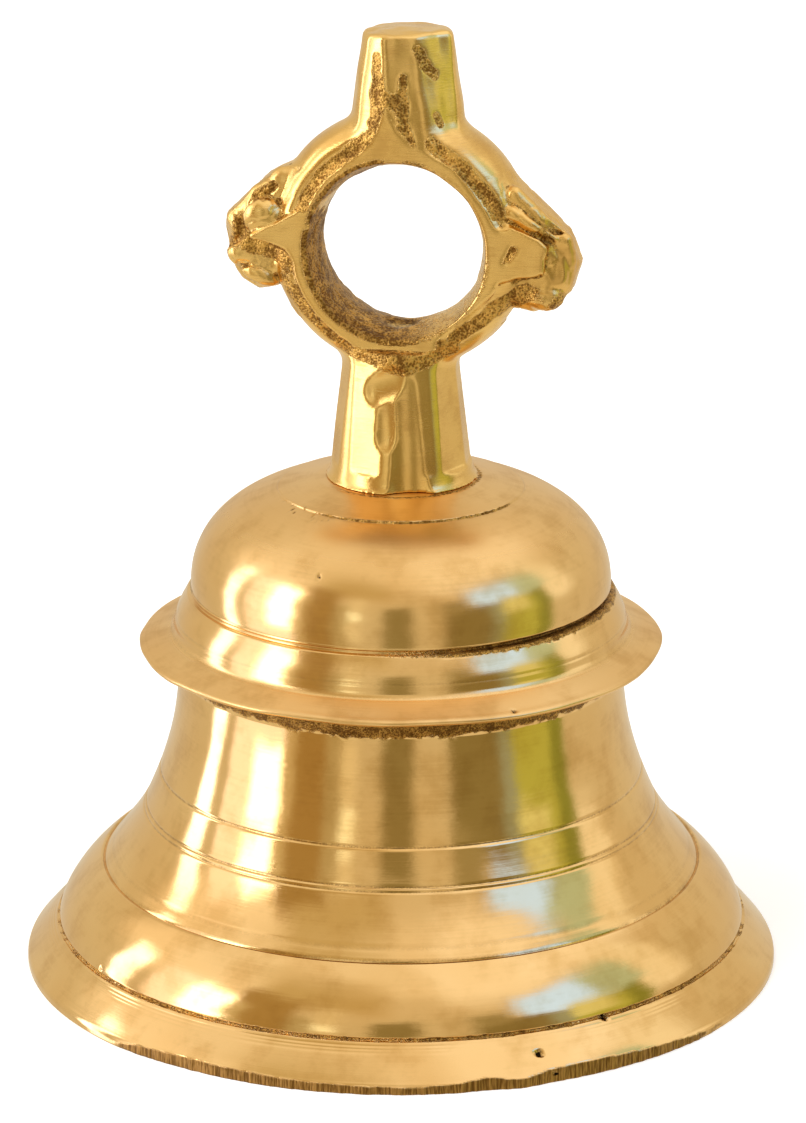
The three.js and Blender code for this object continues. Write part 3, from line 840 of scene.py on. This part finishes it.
def crown_cast(p):
    """How rough (as cast) each point is: hollows hold the sand's grain, and what stands out is polished."""
    cast = smoothstep(0.06, 0.20, p.hollow + 0.06 * p.grains)
    for stretch, reach in ROUGH_ZONES:
        near = zone_mask(p.points, stretch, reach)
        ragged = (0.35 * p.grains + 0.4 * p.broad) * (near > 0)
        cast = np.maximum(cast, np.clip(1.15 * near + ragged - 0.12, 0, 1))
    cast = cast * (1 - 0.9 * p.filed)
    patches = smoothstep(-0.6, 0.3, p.broad + 0.4 * p.grains + smoothstep(152, 142, p.z))
    cast = np.maximum(cast, p.in_bore * patches)
    return cast * smoothstep(SEAT + 3, SEAT + 5, p.z + 1.5 * p.broad)


def crown_depth(p, cast):
    """How far each point is pushed in."""
    above_stem = smoothstep(126, 130, p.z)
    on_peg = smoothstep(168, 171, p.z)
    lumps = (1 - p.filed) * (0.05 + 0.13 * above_stem) * lattice_noise(p.points, 6.0, 43)
    flutes = 0.22 * on_peg * lattice_noise(p.points * (1, 1, 0.4), 2.7, 47)
    depth = cast * (0.10 + 0.20 * p.grains) - lumps - flutes
    # the lugs are creased all over
    depth = depth + p.lug * (0.24 * p.crease * np.where(p.x > 0, 0.5, 1) - 0.32 * p.folds)
    # the filed faces are not quite flat either
    return depth + p.filed * (0.05 + 0.05 * lattice_noise(p.points, 3.3, 46))


def crown_soil(p, cast, surface):
    """How dirty and shaded each point of the finished surface is: up to 1 is soil and painted shade, and
    past that it turns black.
    """
    # soil in the patches left as cast, and painted shade in the hollows
    soil = cast * (0.5 + 0.5 * lattice_noise(surface, 3.0, 48)) + 0.5 * smoothstep(0.08, 0.35, p.hollow)
    # painted shade in the left lug's creases and inside the bore, heaviest on the bore's left wall
    soil = soil + 0.4 * p.lug * p.crease * (p.x < 0) + 0.45 * p.in_bore
    # painted shade: the dimple over the bolt is painted dark
    dimple = smoothstep(4.2, 3.2, np.hypot(p.x, p.y)) * (p.z > 126.6) * (p.z < 131.5)
    return np.maximum(np.clip(soil, 0, 1), 1.42 * dimple)


def make_crown():
    """The ring, its lugs, the peg and the stem, in one casting."""
    space = Space((-38.5, -17.5, SEAT - 1.3), (39.5, 17.5, PEG_TOP + 1.5), 0.36 * COARSER)
    points, faces = surface_net(crown_field(space), space)
    for _ in range(2):
        points = points + 0.5 * (neighbour_mean(points, faces) - points)
    normal = vertex_normals(points, faces)
    # a hollow is where the smoothed surface lies above the surface
    relaxed = points
    for _ in range(8):
        relaxed = neighbour_mean(relaxed, faces)
    p = CrownPoints(points, ((relaxed - points) * normal).sum(1))
    cast = crown_cast(p)
    points = points - normal * crown_depth(p, cast)[:, None]
    points[:, 2] = np.maximum(points[:, 2], FOOT)
    masks = {
        "along": p.z,
        "cast": cast,
        "soil": crown_soil(p, cast, points),
        "sawn": 0 * cast,
        "dull": 0.08 + 0.05 * p.filed + 0.06 * p.lug,
    }
    return mesh_object("crown_casting", points, faces, masks)


# ----- bolt, nut, washer, link and clapper -----
# radii of the wires and rods
EYE_WIRE = 2.25
SHANK = high("eye_bolt").y
LINK_WIRE = high("clapper_link").x
LOOP_WIRE = 2.0
ROD = 2.5
PITCH = 1.0  # of the bolt's thread


def wire_loop(s, centre_height, ring_radius, wire_radius):
    """A round loop of wire in the XZ plane."""
    across = np.hypot(s.x, s.z - centre_height) - ring_radius
    return np.hypot(across, s.y) - wire_radius


def thread(s, radius, depth):
    """How far the surface of a thread lies from the axis."""
    turn = np.arctan2(s.y, s.x) / (2 * math.pi)
    phase = (s.z / PITCH - turn) % 1.0
    return radius - depth * (1 - np.abs(2 * phase - 1)) ** 1.2


def net_object(name, field, space, roughen, seed):
    """A mesh round a field, dented a little all over."""
    points, faces = surface_net(field, space)
    points = points + 0.5 * (neighbour_mean(points, faces) - points)
    dents = lattice_noise(points, 2.1, seed) + 0.4 * lattice_noise(points, 0.8, seed + 1)
    points = points - vertex_normals(points, faces) * (roughen * np.abs(dents))[:, None]
    return mesh_object(name, points, faces)


def box_space(node, step):
    """The space round a node of the frame."""
    step = step * COARSER
    pad = 2.5 * step
    return Space(low(node) - Vector((pad, pad, pad)), high(node) + Vector((pad, pad, pad)), step)


def make_eye_bolt():
    """An eye on a neck, and a threaded shank with a bevelled end."""
    s = box_space("eye_bolt", 0.22)
    ring = high("eye_bolt").x - EYE_WIRE
    centre = low("eye_bolt").z + high("eye_bolt").x
    top = high("eye_bolt").z
    eye = wire_loop(s, centre, ring, EYE_WIRE)
    across = np.hypot(s.x, s.y)
    neck_top = low("lock_nut").z - 0.5
    shank = np.maximum(across - thread(s, SHANK, 0.34), neck_top - s.z)
    plain = np.maximum(across - SHANK * 0.9, np.maximum(centre + ring - s.z, s.z - neck_top - 0.3))
    taper = across - (top - s.z) - SHANK * 0.55
    bolt = np.maximum(np.maximum(np.minimum(shank, plain), s.z - top), taper * 0.7)
    return net_object("eye_bolt_shank", blend_in(eye, bolt, 0.9), s, 0.05, 51)


def make_nut():
    """A six-sided nut with bevelled corners and mouths."""
    s = box_space("lock_nut", 0.16)
    flat = high("lock_nut").x
    bottom, top = heights("lock_nut")
    turned = 0 if flat < high("lock_nut").y else math.pi / 2
    flat = min(flat, high("lock_nut").y)
    directions = [turned + k * math.pi / 3 for k in range(3)]
    sides = np.maximum.reduce([np.abs(s.x * math.cos(a) + s.y * math.sin(a)) - flat for a in directions])
    across = np.hypot(s.x, s.y)
    middle = (top + bottom) / 2
    chamfer = (across + 1.75 * np.abs(s.z - middle) - flat * 1.1 - 1.75 * (top - middle)) / 2
    body = -blend_in(-sides, -(np.abs(s.z - middle) - (top - middle)), 0.1)
    body = np.maximum(body, chamfer)
    hole = across - np.maximum(SHANK + 0.12, SHANK + 0.5 - np.minimum(s.z - bottom, top - s.z) * 1.2)
    return net_object("hex_nut", carve(body, hole, 0.1), s, 0.03, 53)


def lathe_object(name, outline, around, wobble=None, attributes=None):
    """A solid of revolution from a closed outline. Wobble moves its points, and attributes work out masks
    from them."""
    angle = np.linspace(0, 2 * math.pi, around, endpoint=False)
    r = np.repeat(outline[:, :1], around, 1)
    z = np.repeat(outline[:, 1:], around, 1)
    points = np.stack([r * np.cos(angle), r * np.sin(angle), z], -1).reshape(-1, 3)
    faces = ring_faces(len(outline), around, True)
    if wobble:
        points = wobble(points)
    along = np.repeat(arc_lengths(outline)[:, None], around, 1).ravel()
    extra = {"along": along, "cast": 0 * along, "soil": 0 * along, "sawn": 0 * along, "dull": 0 * along}
    extra.update({k: f(points) for k, f in (attributes or {}).items()})
    return mesh_object(name, points, faces, extra)


def make_washer():
    bottom, top = heights("inner_washer")
    outer, inner, soft = high("inner_washer").x, BORE + 0.05, 0.3
    o = Outline(inner, top - soft, 0.3)
    o.bend((inner, top), (inner + soft, top), 0.1).line(outer - soft, top, 0.6)
    o.bend((outer, top), (outer, top - soft), 0.1).line(outer, bottom + soft, 0.4)
    o.bend((outer, bottom), (outer - soft * 1.8, bottom), 0.1).line(inner + soft, bottom, 0.6)
    o.bend((inner, bottom), (inner, bottom + soft), 0.1).line(inner, top - 1.2 * soft, 0.4)
    return lathe_object("round_washer", o.array(), 128)


def make_link():
    """A link bent from wire, with its ends sawn and almost meeting."""
    s = box_space("clapper_link", 0.17)
    end = high("clapper_link").y - LINK_WIRE
    top = high("clapper_link").z - LINK_WIRE - end
    bottom = low("clapper_link").z + LINK_WIRE + end
    middle, half = (top + bottom) / 2, (top - bottom) / 2
    past = np.maximum(np.abs(s.z - middle) - half, 0)
    across = np.hypot(s.y, past) - end
    wire = np.hypot(across, s.x) - LINK_WIRE
    slot = np.maximum(np.abs(s.z - middle - 0.12 * (s.y - end)) - 0.3, -s.y)
    return net_object("split_link", carve(wire, slot, 0.25), s, 0.04, 55)


def make_rod():
    """A loop on a rod, with a collar that stops the ball."""
    s = box_space("clapper_rod", 0.26)
    reach = high("clapper_rod").x
    centre = high("clapper_rod").z - reach
    loop = wire_loop(s, centre, reach - LOOP_WIRE, LOOP_WIRE)
    across = np.hypot(s.x, s.y)
    bottom, seat = low("clapper_rod").z, high("clapper_ball").z + 0.05
    shaft = np.maximum(across - ROD, np.maximum(bottom - s.z, s.z - centre + reach - LOOP_WIRE))
    shaft = np.maximum(shaft, (across - ROD + 0.8 - (s.z - bottom)) * 0.7)
    collar_outside = np.minimum(4.35, 4.35 - (s.z - seat - 2.0) * 1.7)
    collar = np.maximum(across - collar_outside, np.maximum(seat - s.z, s.z - seat - 3.1)) * 0.8
    field = blend_in(blend_in(loop, shaft, 1.6), collar, 0.5)
    return net_object("forged_rod", field, s, 0.07, 57)


def make_ball():
    """A cast ball with a flat round each end of its bore and the line of the mould round its middle."""
    bottom, top = heights("clapper_ball")
    radius, centre = high("clapper_ball").x, (bottom + top) / 2
    inner, flat = ROD + 0.3, math.sqrt(radius**2 - (top - centre) ** 2)
    start = math.asin((top - centre) / radius)
    arc = np.linspace(start - 0.02, -start + 0.02, 90)
    dome = np.stack([radius * np.cos(arc), centre + radius * np.sin(arc)], -1)
    # the mould's parting line stands a little above the middle
    dome[:, 0] -= 0.10 - 0.10 * bump_at(dome[:, 1], centre + 1.2, 0.35)
    o = Outline(inner, top - 0.3, 0.4)
    o.bend((inner, top), (inner + 0.3, top), 0.1).line(flat - 0.25, top, 0.3)
    o.points.append(dome)
    o.line(flat - 0.25, bottom, 0.2).line(inner + 0.3, bottom, 0.3)
    o.bend((inner, bottom), (inner, bottom + 0.3), 0.1).line(inner, top - 0.6, 1.5)

    def dent(points):
        depth = 0.12 * np.abs(lattice_noise(points, 4.2, 61))
        depth = depth + 0.05 * np.abs(lattice_noise(points, 1.3, 62))
        outwards = points - (0, 0, centre)
        outwards /= np.linalg.norm(outwards, axis=1, keepdims=True)
        on_dome = (np.hypot(points[:, 0], points[:, 1]) > flat + 0.3)[:, None]
        return points - outwards * depth[:, None] * on_dome

    def cast(points):
        level = np.abs(points[:, 2] - centre) / radius
        return smoothstep(0.25, 0.85, level + 0.25 * lattice_noise(points, 2.5, 63))

    masks = {"cast": cast, "soil": lambda points: 0.5 * cast(points)}
    return lathe_object("striker_ball", o.array(), 160, dent, masks)


def make_tail():
    bottom, top = heights("clapper_tail")
    outer, inner = high("clapper_tail").x, ROD + 0.3
    o = Outline(0.001, bottom, 0.25)
    o.line(1.2, bottom).curve((3.4, bottom), (outer, bottom + 0.7), (outer, bottom + 2.6))
    o.curve((outer, bottom + 3.9), (4.9, top - 0.5), (4.3, top)).line(inner + 0.2, top)
    floor = bottom + 2.05  # of the hole that the rod stands in
    o.bend((inner, top), (inner, top - 0.3), 0.1).line(inner, floor, 0.4).line(0.001, floor, 0.4)
    return lathe_object("tail_nut", o.array(), 96)


# ----- materials -----
class Value:
    """An output of a node, which can be added, subtracted and multiplied."""

    def __init__(self, nodes, socket):
        self.nodes = nodes
        self.socket = socket

    def __add__(self, other):
        return self.nodes.math("ADD", self, other)

    def __sub__(self, other):
        return self.nodes.math("SUBTRACT", self, other)

    def __mul__(self, other):
        return self.nodes.math("MULTIPLY", self, other)


# numbers of outputs: two of the texture coordinate node's, and one of the attribute node's
GENERATED = 0
OBJECT = 3
FACTOR = 2


class Nodes:
    """A node tree with short calls for the nodes that these materials use."""

    def __init__(self, tree):
        self.tree = tree
        tree.nodes.clear()

    def node(self, kind, inputs, **settings):
        """The outputs of a new node. Its inputs are named or numbered."""
        made = self.tree.nodes.new("ShaderNode" + kind)
        for key, value in settings.items():
            setattr(made, key, value)
        for key, value in inputs.items():
            if isinstance(value, Value):
                self.tree.links.new(value.socket, made.inputs[key])
            else:
                made.inputs[key].default_value = value
        return [Value(self, socket) for socket in made.outputs]

    def place(self):
        """The place on the object, in millimetres."""
        on_object = self.node("TexCoord", {})[OBJECT]
        return self.node("VectorMath", {0: on_object, "Scale": 1 / MM}, operation="SCALE")[0]

    def math(self, operation, a, b=0.0, clamp=False):
        return self.node("Math", {0: a, 1: b}, operation=operation, use_clamp=clamp)[0]

    def stretch(self, vector, factors):
        return self.node("VectorMath", {0: vector, 1: factors}, operation="MULTIPLY")[0]

    def ramp(self, value, low_edge, high_edge):
        """0 up to the low edge, 1 from the high edge on, and smooth between them."""
        inputs = {"Value": value, "From Min": low_edge, "From Max": high_edge}
        return self.node("MapRange", inputs, interpolation_type="SMOOTHSTEP")[0]

    def mix(self, factor, a, b):
        return self.node("Mix", {0: factor, 6: a, 7: b}, data_type="RGBA")[2]

    def blend(self, factor, a, b):
        return self.node("Mix", {0: factor, 2: a, 3: b}, data_type="FLOAT")[0]

    def noise(self, where, scale, detail=2.0, roughness=0.5, w=None):
        """Noise in three dimensions, or in four with w."""
        inputs = {"Vector": where, "Scale": scale, "Detail": detail, "Roughness": roughness}
        if w is None:
            return self.node("TexNoise", inputs)[0]
        return self.node("TexNoise", {**inputs, "W": w}, noise_dimensions="4D")[0]

    def attribute(self, name):
        return self.node("Attribute", {}, attribute_name=name)[FACTOR]

    def bump(self, height):
        """A bump from a height in millimetres."""
        return self.node("Bump", {"Strength": 1.0, "Distance": MM, "Height": height})[0]

    def finish(self, inputs):
        shader = self.node("BsdfPrincipled", inputs)[0]
        self.node("OutputMaterial", {0: shader})


def new_material(name):
    material = bpy.data.materials.new(name)
    material.use_nodes = True
    return material, Nodes(material.node_tree)


POLISHED = (0.87, 0.59, 0.25, 1)
POLISHED_DEEP = (0.82, 0.525, 0.20, 1)
YELLOWER = (0.89, 0.60, 0.205, 1)
YELLOWER_DEEP = (0.83, 0.52, 0.155, 1)
TARNISHED = (0.60, 0.345, 0.095, 1)
AS_CAST = (0.80, 0.48, 0.12, 1)
# as-cast grain darkened by soil and painted shade
AS_CAST_SOILED_AND_SHADED = (0.50, 0.28, 0.068, 1)
# the low grains of the casting: partly patina, partly painted shade
AS_CAST_PATINA_AND_SHADE = (0.30, 0.145, 0.026, 1)
# soil, and painted shade in hollows, creases, pits and the bore
DARK_SOIL_AND_SHADE = (0.12, 0.055, 0.012, 1)
SAWN = (0.52, 0.29, 0.085, 1)
SAWN_DARK = (0.20, 0.098, 0.021, 1)
# painted shade: black for the bottoms of pits, the dimple and the groove over the shoulder band
BLACK_PAINTED_SHADE = (0.012, 0.006, 0.002, 1)


class BrassPattern:
    """What a brass surface is worked out from: the mesh's masks, and the metal's marks and grains. Turned
    is 1 for lines left by the lathe and 0 for strokes of the file."""

    def __init__(self, n, turned):
        place = n.place()
        self.soil, self.sawn, self.dull = (n.attribute(name) for name in ("soil", "sawn", "dull"))
        self.broad = n.noise(place, 0.035, 3)
        self.smudge = n.noise(place, 0.11, 4, 0.6)
        # tool marks: lines round the axis, or strokes along one side
        x, y, _ = n.node("SeparateXYZ", {0: place})
        flat = n.node("CombineXYZ", {0: x, 1: y})[0]
        facing = n.node("VectorMath", {0: flat}, operation="NORMALIZE")[0]
        along = n.attribute("along")
        lines = n.noise(facing, 0.9, 3, 0.6, along * 1.7)
        fine_lines = n.noise(facing, 2.2, 2, 0.7, along * 7.0)
        strokes = n.noise(n.stretch(place, (0.22, 0.6, 3.4)), 1.0, 4, 0.65)
        self.marks = lines * (0.6 * turned) + fine_lines * (0.4 * turned) + strokes * (1 - turned)
        # the sand's grain, and the ragged edges of the patches left as cast
        grain = n.noise(place, 1.3 + 0.7 * turned, 4, 0.65)
        cells = n.node("TexVoronoi", {"Vector": place, "Scale": 2.3 + 0.9 * turned})[0]
        self.grit = grain * 0.65 + cells * 0.5
        cast = n.attribute("cast")
        ragged = (grain - 0.5) * 1.5 * n.ramp(cast, 0.02, 0.25)
        self.cast = n.ramp(cast + ragged, 0.30, 0.62)
        self.lightness = self.grit + (n.noise(place, 0.42, 3, 0.6) - 0.5) * 0.9
        # saw marks up and down the lip's edge
        self.saw_marks = n.noise(n.stretch(place, (1.8, 1.8, 0.14)), 1.6, 3, 0.6)
        self.unpolished = n.math("MAXIMUM", self.cast, self.sawn)


def brass_height(n, p, scratch):
    """The height of the fine relief, in millimetres."""
    polished = n.math("SUBTRACT", 1.0, p.unpolished, clamp=True)
    height = p.marks * (0.012 * scratch) * polished + p.smudge * 0.03
    return height + p.grit * 0.30 * p.cast + p.saw_marks * 0.25 * p.sawn


def brass_colour(n, p, light, deep):
    colour = n.mix(n.ramp(p.broad, 0.35, 0.68), light, deep)
    colour = n.mix(n.ramp(p.smudge + p.marks * 0.35, 0.60, 0.92) * 0.55, colour, TARNISHED)
    # patches left as cast: the low grains get a dark colour that is partly patina and partly painted shade,
    # and the raised ones darken with soil and painted shade
    raised = n.mix(n.ramp(p.soil, 0.35, 1.05), AS_CAST, AS_CAST_SOILED_AND_SHADED)
    colour = n.mix(p.cast, colour, n.mix(n.ramp(p.lightness, 0.38, 0.72), AS_CAST_PATINA_AND_SHADE, raised))
    colour = n.mix(p.sawn, colour, n.mix(n.ramp(p.saw_marks, 0.38, 0.62), SAWN_DARK, SAWN))
    # soil and painted shade, heaviest in the low grains
    dirt_and_shade = n.math("MULTIPLY", p.soil, n.ramp(p.lightness, 0.78, 0.40), clamp=True)
    colour = n.mix(dirt_and_shade * 0.75, colour, DARK_SOIL_AND_SHADE)
    # past 1.3 the soil mask turns to black painted shade
    return n.mix(n.ramp(p.soil, 1.3, 1.7), colour, BLACK_PAINTED_SHADE)


def brass_roughness(n, p, rough, scratch):
    roughness = n.ramp(p.smudge, 0.45, 0.75) * 0.05 + rough
    roughness = roughness + n.ramp(p.marks, 0.5, 0.8) * (0.05 * scratch) + p.dull
    return n.blend(p.unpolished, roughness, 0.38)


def brass(name, turned, light, deep, rough=0.085, scratch=1.0):
    """Polished brass with rough patches left as cast."""
    material, n = new_material(name)
    p = BrassPattern(n, turned)
    n.finish({
        "Base Color": brass_colour(n, p, light, deep),
        "Metallic": 1.0,
        "Roughness": brass_roughness(n, p, rough, scratch),
        "Normal": n.bump(brass_height(n, p, scratch)),
    })
    return material


IRON = (0.23, 0.215, 0.20, 1)
IRON_DARK = (0.07, 0.062, 0.055, 1)
RUST = (0.19, 0.085, 0.035, 1)


def iron(name, rough):
    """Dull worn iron with scale and a little rust."""
    material, n = new_material(name)
    place = n.place()
    patches = n.noise(place, 0.45, 5, 0.65)
    grain = n.noise(place, 3.2, 4, 0.6)
    rusted = n.ramp(patches, 0.56, 0.70) * 0.8
    n.finish({
        "Base Color": n.mix(rusted, n.mix(n.ramp(grain, 0.36, 0.62), IRON_DARK, IRON), RUST),
        "Metallic": n.math("SUBTRACT", 1.0, rusted),
        "Roughness": patches * 0.25 + rough,
        "Normal": n.bump(grain * 0.05 + patches * 0.10),
    })
    return material


# ----- floor and light -----
def make_floor():
    half = 8.0
    corners = [(-half, -half, 0), (half, -half, 0), (half, half, 0), (-half, half, 0)]
    mesh = bpy.data.meshes.new("floor")
    mesh.from_pydata(corners, [], [(0, 1, 2, 3)])
    floor = bpy.data.objects.new("floor", mesh)
    bpy.context.scene.collection.objects.link(floor)
    floor.visible_glossy = False  # the metal mirrors the room, down past the edge of the table
    material, n = new_material("floor_paint")
    pale = (0.93, 0.94, 0.93, 1)
    n.finish({
        "Base Color": pale,
        "Roughness": 0.9,
        "Emission Color": pale,
        "Emission Strength": 0.30,
        "Specular IOR Level": 0.1,
    })
    mesh.materials.append(material)


# What stands round the bell in the room, as the polished metal mirrors it. Each soft patch is its two sides
# as degrees of azimuth from the camera, its lowest and highest elevation, the softness of its edge, and its
# colour. Later ones cover earlier ones.
ROOM_PATCHES = (
    # pale wall and ceiling, brighter at the right
    ((18, 150), (45, 100), 9, (1.12, 1.09, 1.13)),
    ((88, 108), (4, 50), 5, (1.02, 0.99, 0.95)),
    ((-74, -6), (37, 60), 7, (0.62, 0.51, 0.31)),
    ((-124, -58), (24, 52), 8, (1.10, 1.00, 0.92)),
    # the window with its curtain, and a strip of daylight beside it
    ((-93, -61), (-24, 34), 1.5, (1.45, 1.36, 1.55)),
    ((-77, -61), (-12, 33), 2, (4.2, 4.2, 4.6)),
    ((-110, -100.5), (-24, 31), 1.5, (3.2, 3.2, 4.0)),
    # dark wood to the right of the window, and a lit edge past it
    ((-60.5, -37), (-30, 42), 1.2, (0.42, 0.29, 0.12)),
    ((-60.5, -54), (-30, 30), 1.2, (0.64, 0.54, 0.35)),
    ((-37, -29), (-30, 26), 1, (0.53, 0.46, 0.30)),
    ((-29.5, -22), (-16, 38), 0.8, (0.88, 0.82, 0.68)),
    ((-29, -23), (8, 20), 0.8, (1.35, 1.45, 1.45)),
    # a narrow dark shape behind the camera
    ((-9.5, 6), (-30, 28), 1, (0.31, 0.265, 0.14)),
    # dark furniture, then a bright opening with sky over plants
    ((24, 60), (-30, 21), 1.2, (0.28, 0.235, 0.11)),
    ((24, 38), (14, 32), 2, (0.38, 0.33, 0.19)),
    ((43, 78), (21, 43), 2, (0.72, 1.20, 2.8)),
    ((50, 60), (-30, 20), 2, (0.36, 0.42, 0.38)),
    ((58, 84), (-30, 22), 1.5, (0.51, 0.56, 0.14)),
    ((58, 74), (4, 24), 2, (0.80, 0.84, 0.46)),
    ((80, 89), (-30, 30), 1, (0.28, 0.32, 0.07)),
    ((72, 93), (22, 43), 2, (0.55, 0.74, 0.72)),
)
ROOM_LEVELS = (
    # elevation, colour: the rest of the room, from the floor to the ceiling
    (-40, (0.80, 0.73, 0.60)),
    (-14, (0.68, 0.61, 0.48)),
    (20, (0.72, 0.65, 0.52)),
    (45, (0.76, 0.67, 0.54)),
    (62, (0.95, 0.86, 0.76)),
    (90, (0.94, 0.85, 0.75)),
)


ROOM_STRENGTH = 1.08


def make_world():
    world = bpy.data.worlds.new("studio")
    bpy.context.scene.world = world
    world.use_nodes = True
    n = Nodes(world.node_tree)
    direction = n.node("TexCoord", {})[GENERATED]
    x, y, z = n.node("SeparateXYZ", {0: direction})
    degrees = 180 / math.pi
    azimuth = (n.math("ARCTAN2", x, y * -1.0) - VIEW_AZIMUTH) * degrees
    elevation = n.math("ARCSINE", z) * degrees
    # nothing in a room has quite straight or even edges
    azimuth = azimuth + (n.noise(direction, 5.0, 3) - 0.5) * 6.0
    elevation = elevation + (n.noise(direction, 4.0, 3, 0.5, 3.0) - 0.5) * 14.0
    colour = (*ROOM_LEVELS[0][1], 1)
    for (lower, _), (upper, tint) in zip(ROOM_LEVELS, ROOM_LEVELS[1:]):
        colour = n.mix(n.ramp(elevation, lower, upper), colour, (*tint, 1))
    for (left, right), (bottom, top), soft, tint in ROOM_PATCHES:
        mask = n.ramp(azimuth, left - soft, left + soft) * n.ramp(azimuth, right + soft, right - soft)
        mask = mask * n.ramp(elevation, bottom - soft, bottom + soft)
        mask = mask * n.ramp(elevation, top + 2 * soft, top - 2 * soft)
        colour = n.mix(mask, colour, (*tint, 1))
    background = n.node("Background", {0: colour, 1: ROOM_STRENGTH})[0]
    n.node("OutputWorld", {0: background})


def make_light():
    """One large soft light, high at the left front."""
    data = bpy.data.lights.new("soft_light", "AREA")
    data.shape = "DISK"
    data.size = 1.4
    data.energy = 22
    light = bpy.data.objects.new("soft_light", data)
    light.visible_glossy = False
    light.location = (-1.3, -1.2, 2.1)
    light.rotation_euler = (-Vector(light.location)).to_track_quat("-Z", "Y").to_euler()
    bpy.context.scene.collection.objects.link(light)


# ----- assembly -----
def place(piece, node, body, slot, material):
    piece.data.materials.append(material)
    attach(piece, body)
    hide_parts(node)


turned_brass = brass("turned_brass", 1.0, POLISHED, POLISHED_DEEP)
cast_brass = brass("cast_brass", 0.0, YELLOWER, YELLOWER_DEEP, 0.12, 2.4)
ball_brass = brass("ball_brass", 0.5, YELLOWER, YELLOWER_DEEP, 0.16)
bright_iron = iron("worn_iron", 0.3)
dark_iron = iron("dark_iron", 0.42)

place(make_shell(), "bell_shell", "bell", "turned_brass", turned_brass)
place(make_crown(), "crown_hanger", "bell", "cast_brass", cast_brass)
place(make_eye_bolt(), "eye_bolt", "bell", "plain_steel", dark_iron)
place(make_washer(), "inner_washer", "bell", "plain_steel", bright_iron)
place(make_nut(), "lock_nut", "bell", "plain_steel", bright_iron)
place(make_link(), "clapper_link", "link", "plain_steel", dark_iron)
place(make_rod(), "clapper_rod", "clapper", "plain_steel", dark_iron)
place(make_ball(), "clapper_ball", "clapper", "cast_brass", ball_brass)
place(make_tail(), "clapper_tail", "clapper", "cast_brass", ball_brass)

make_floor()
make_world()
make_light()
bpy.context.scene.view_settings.view_transform = "Standard"
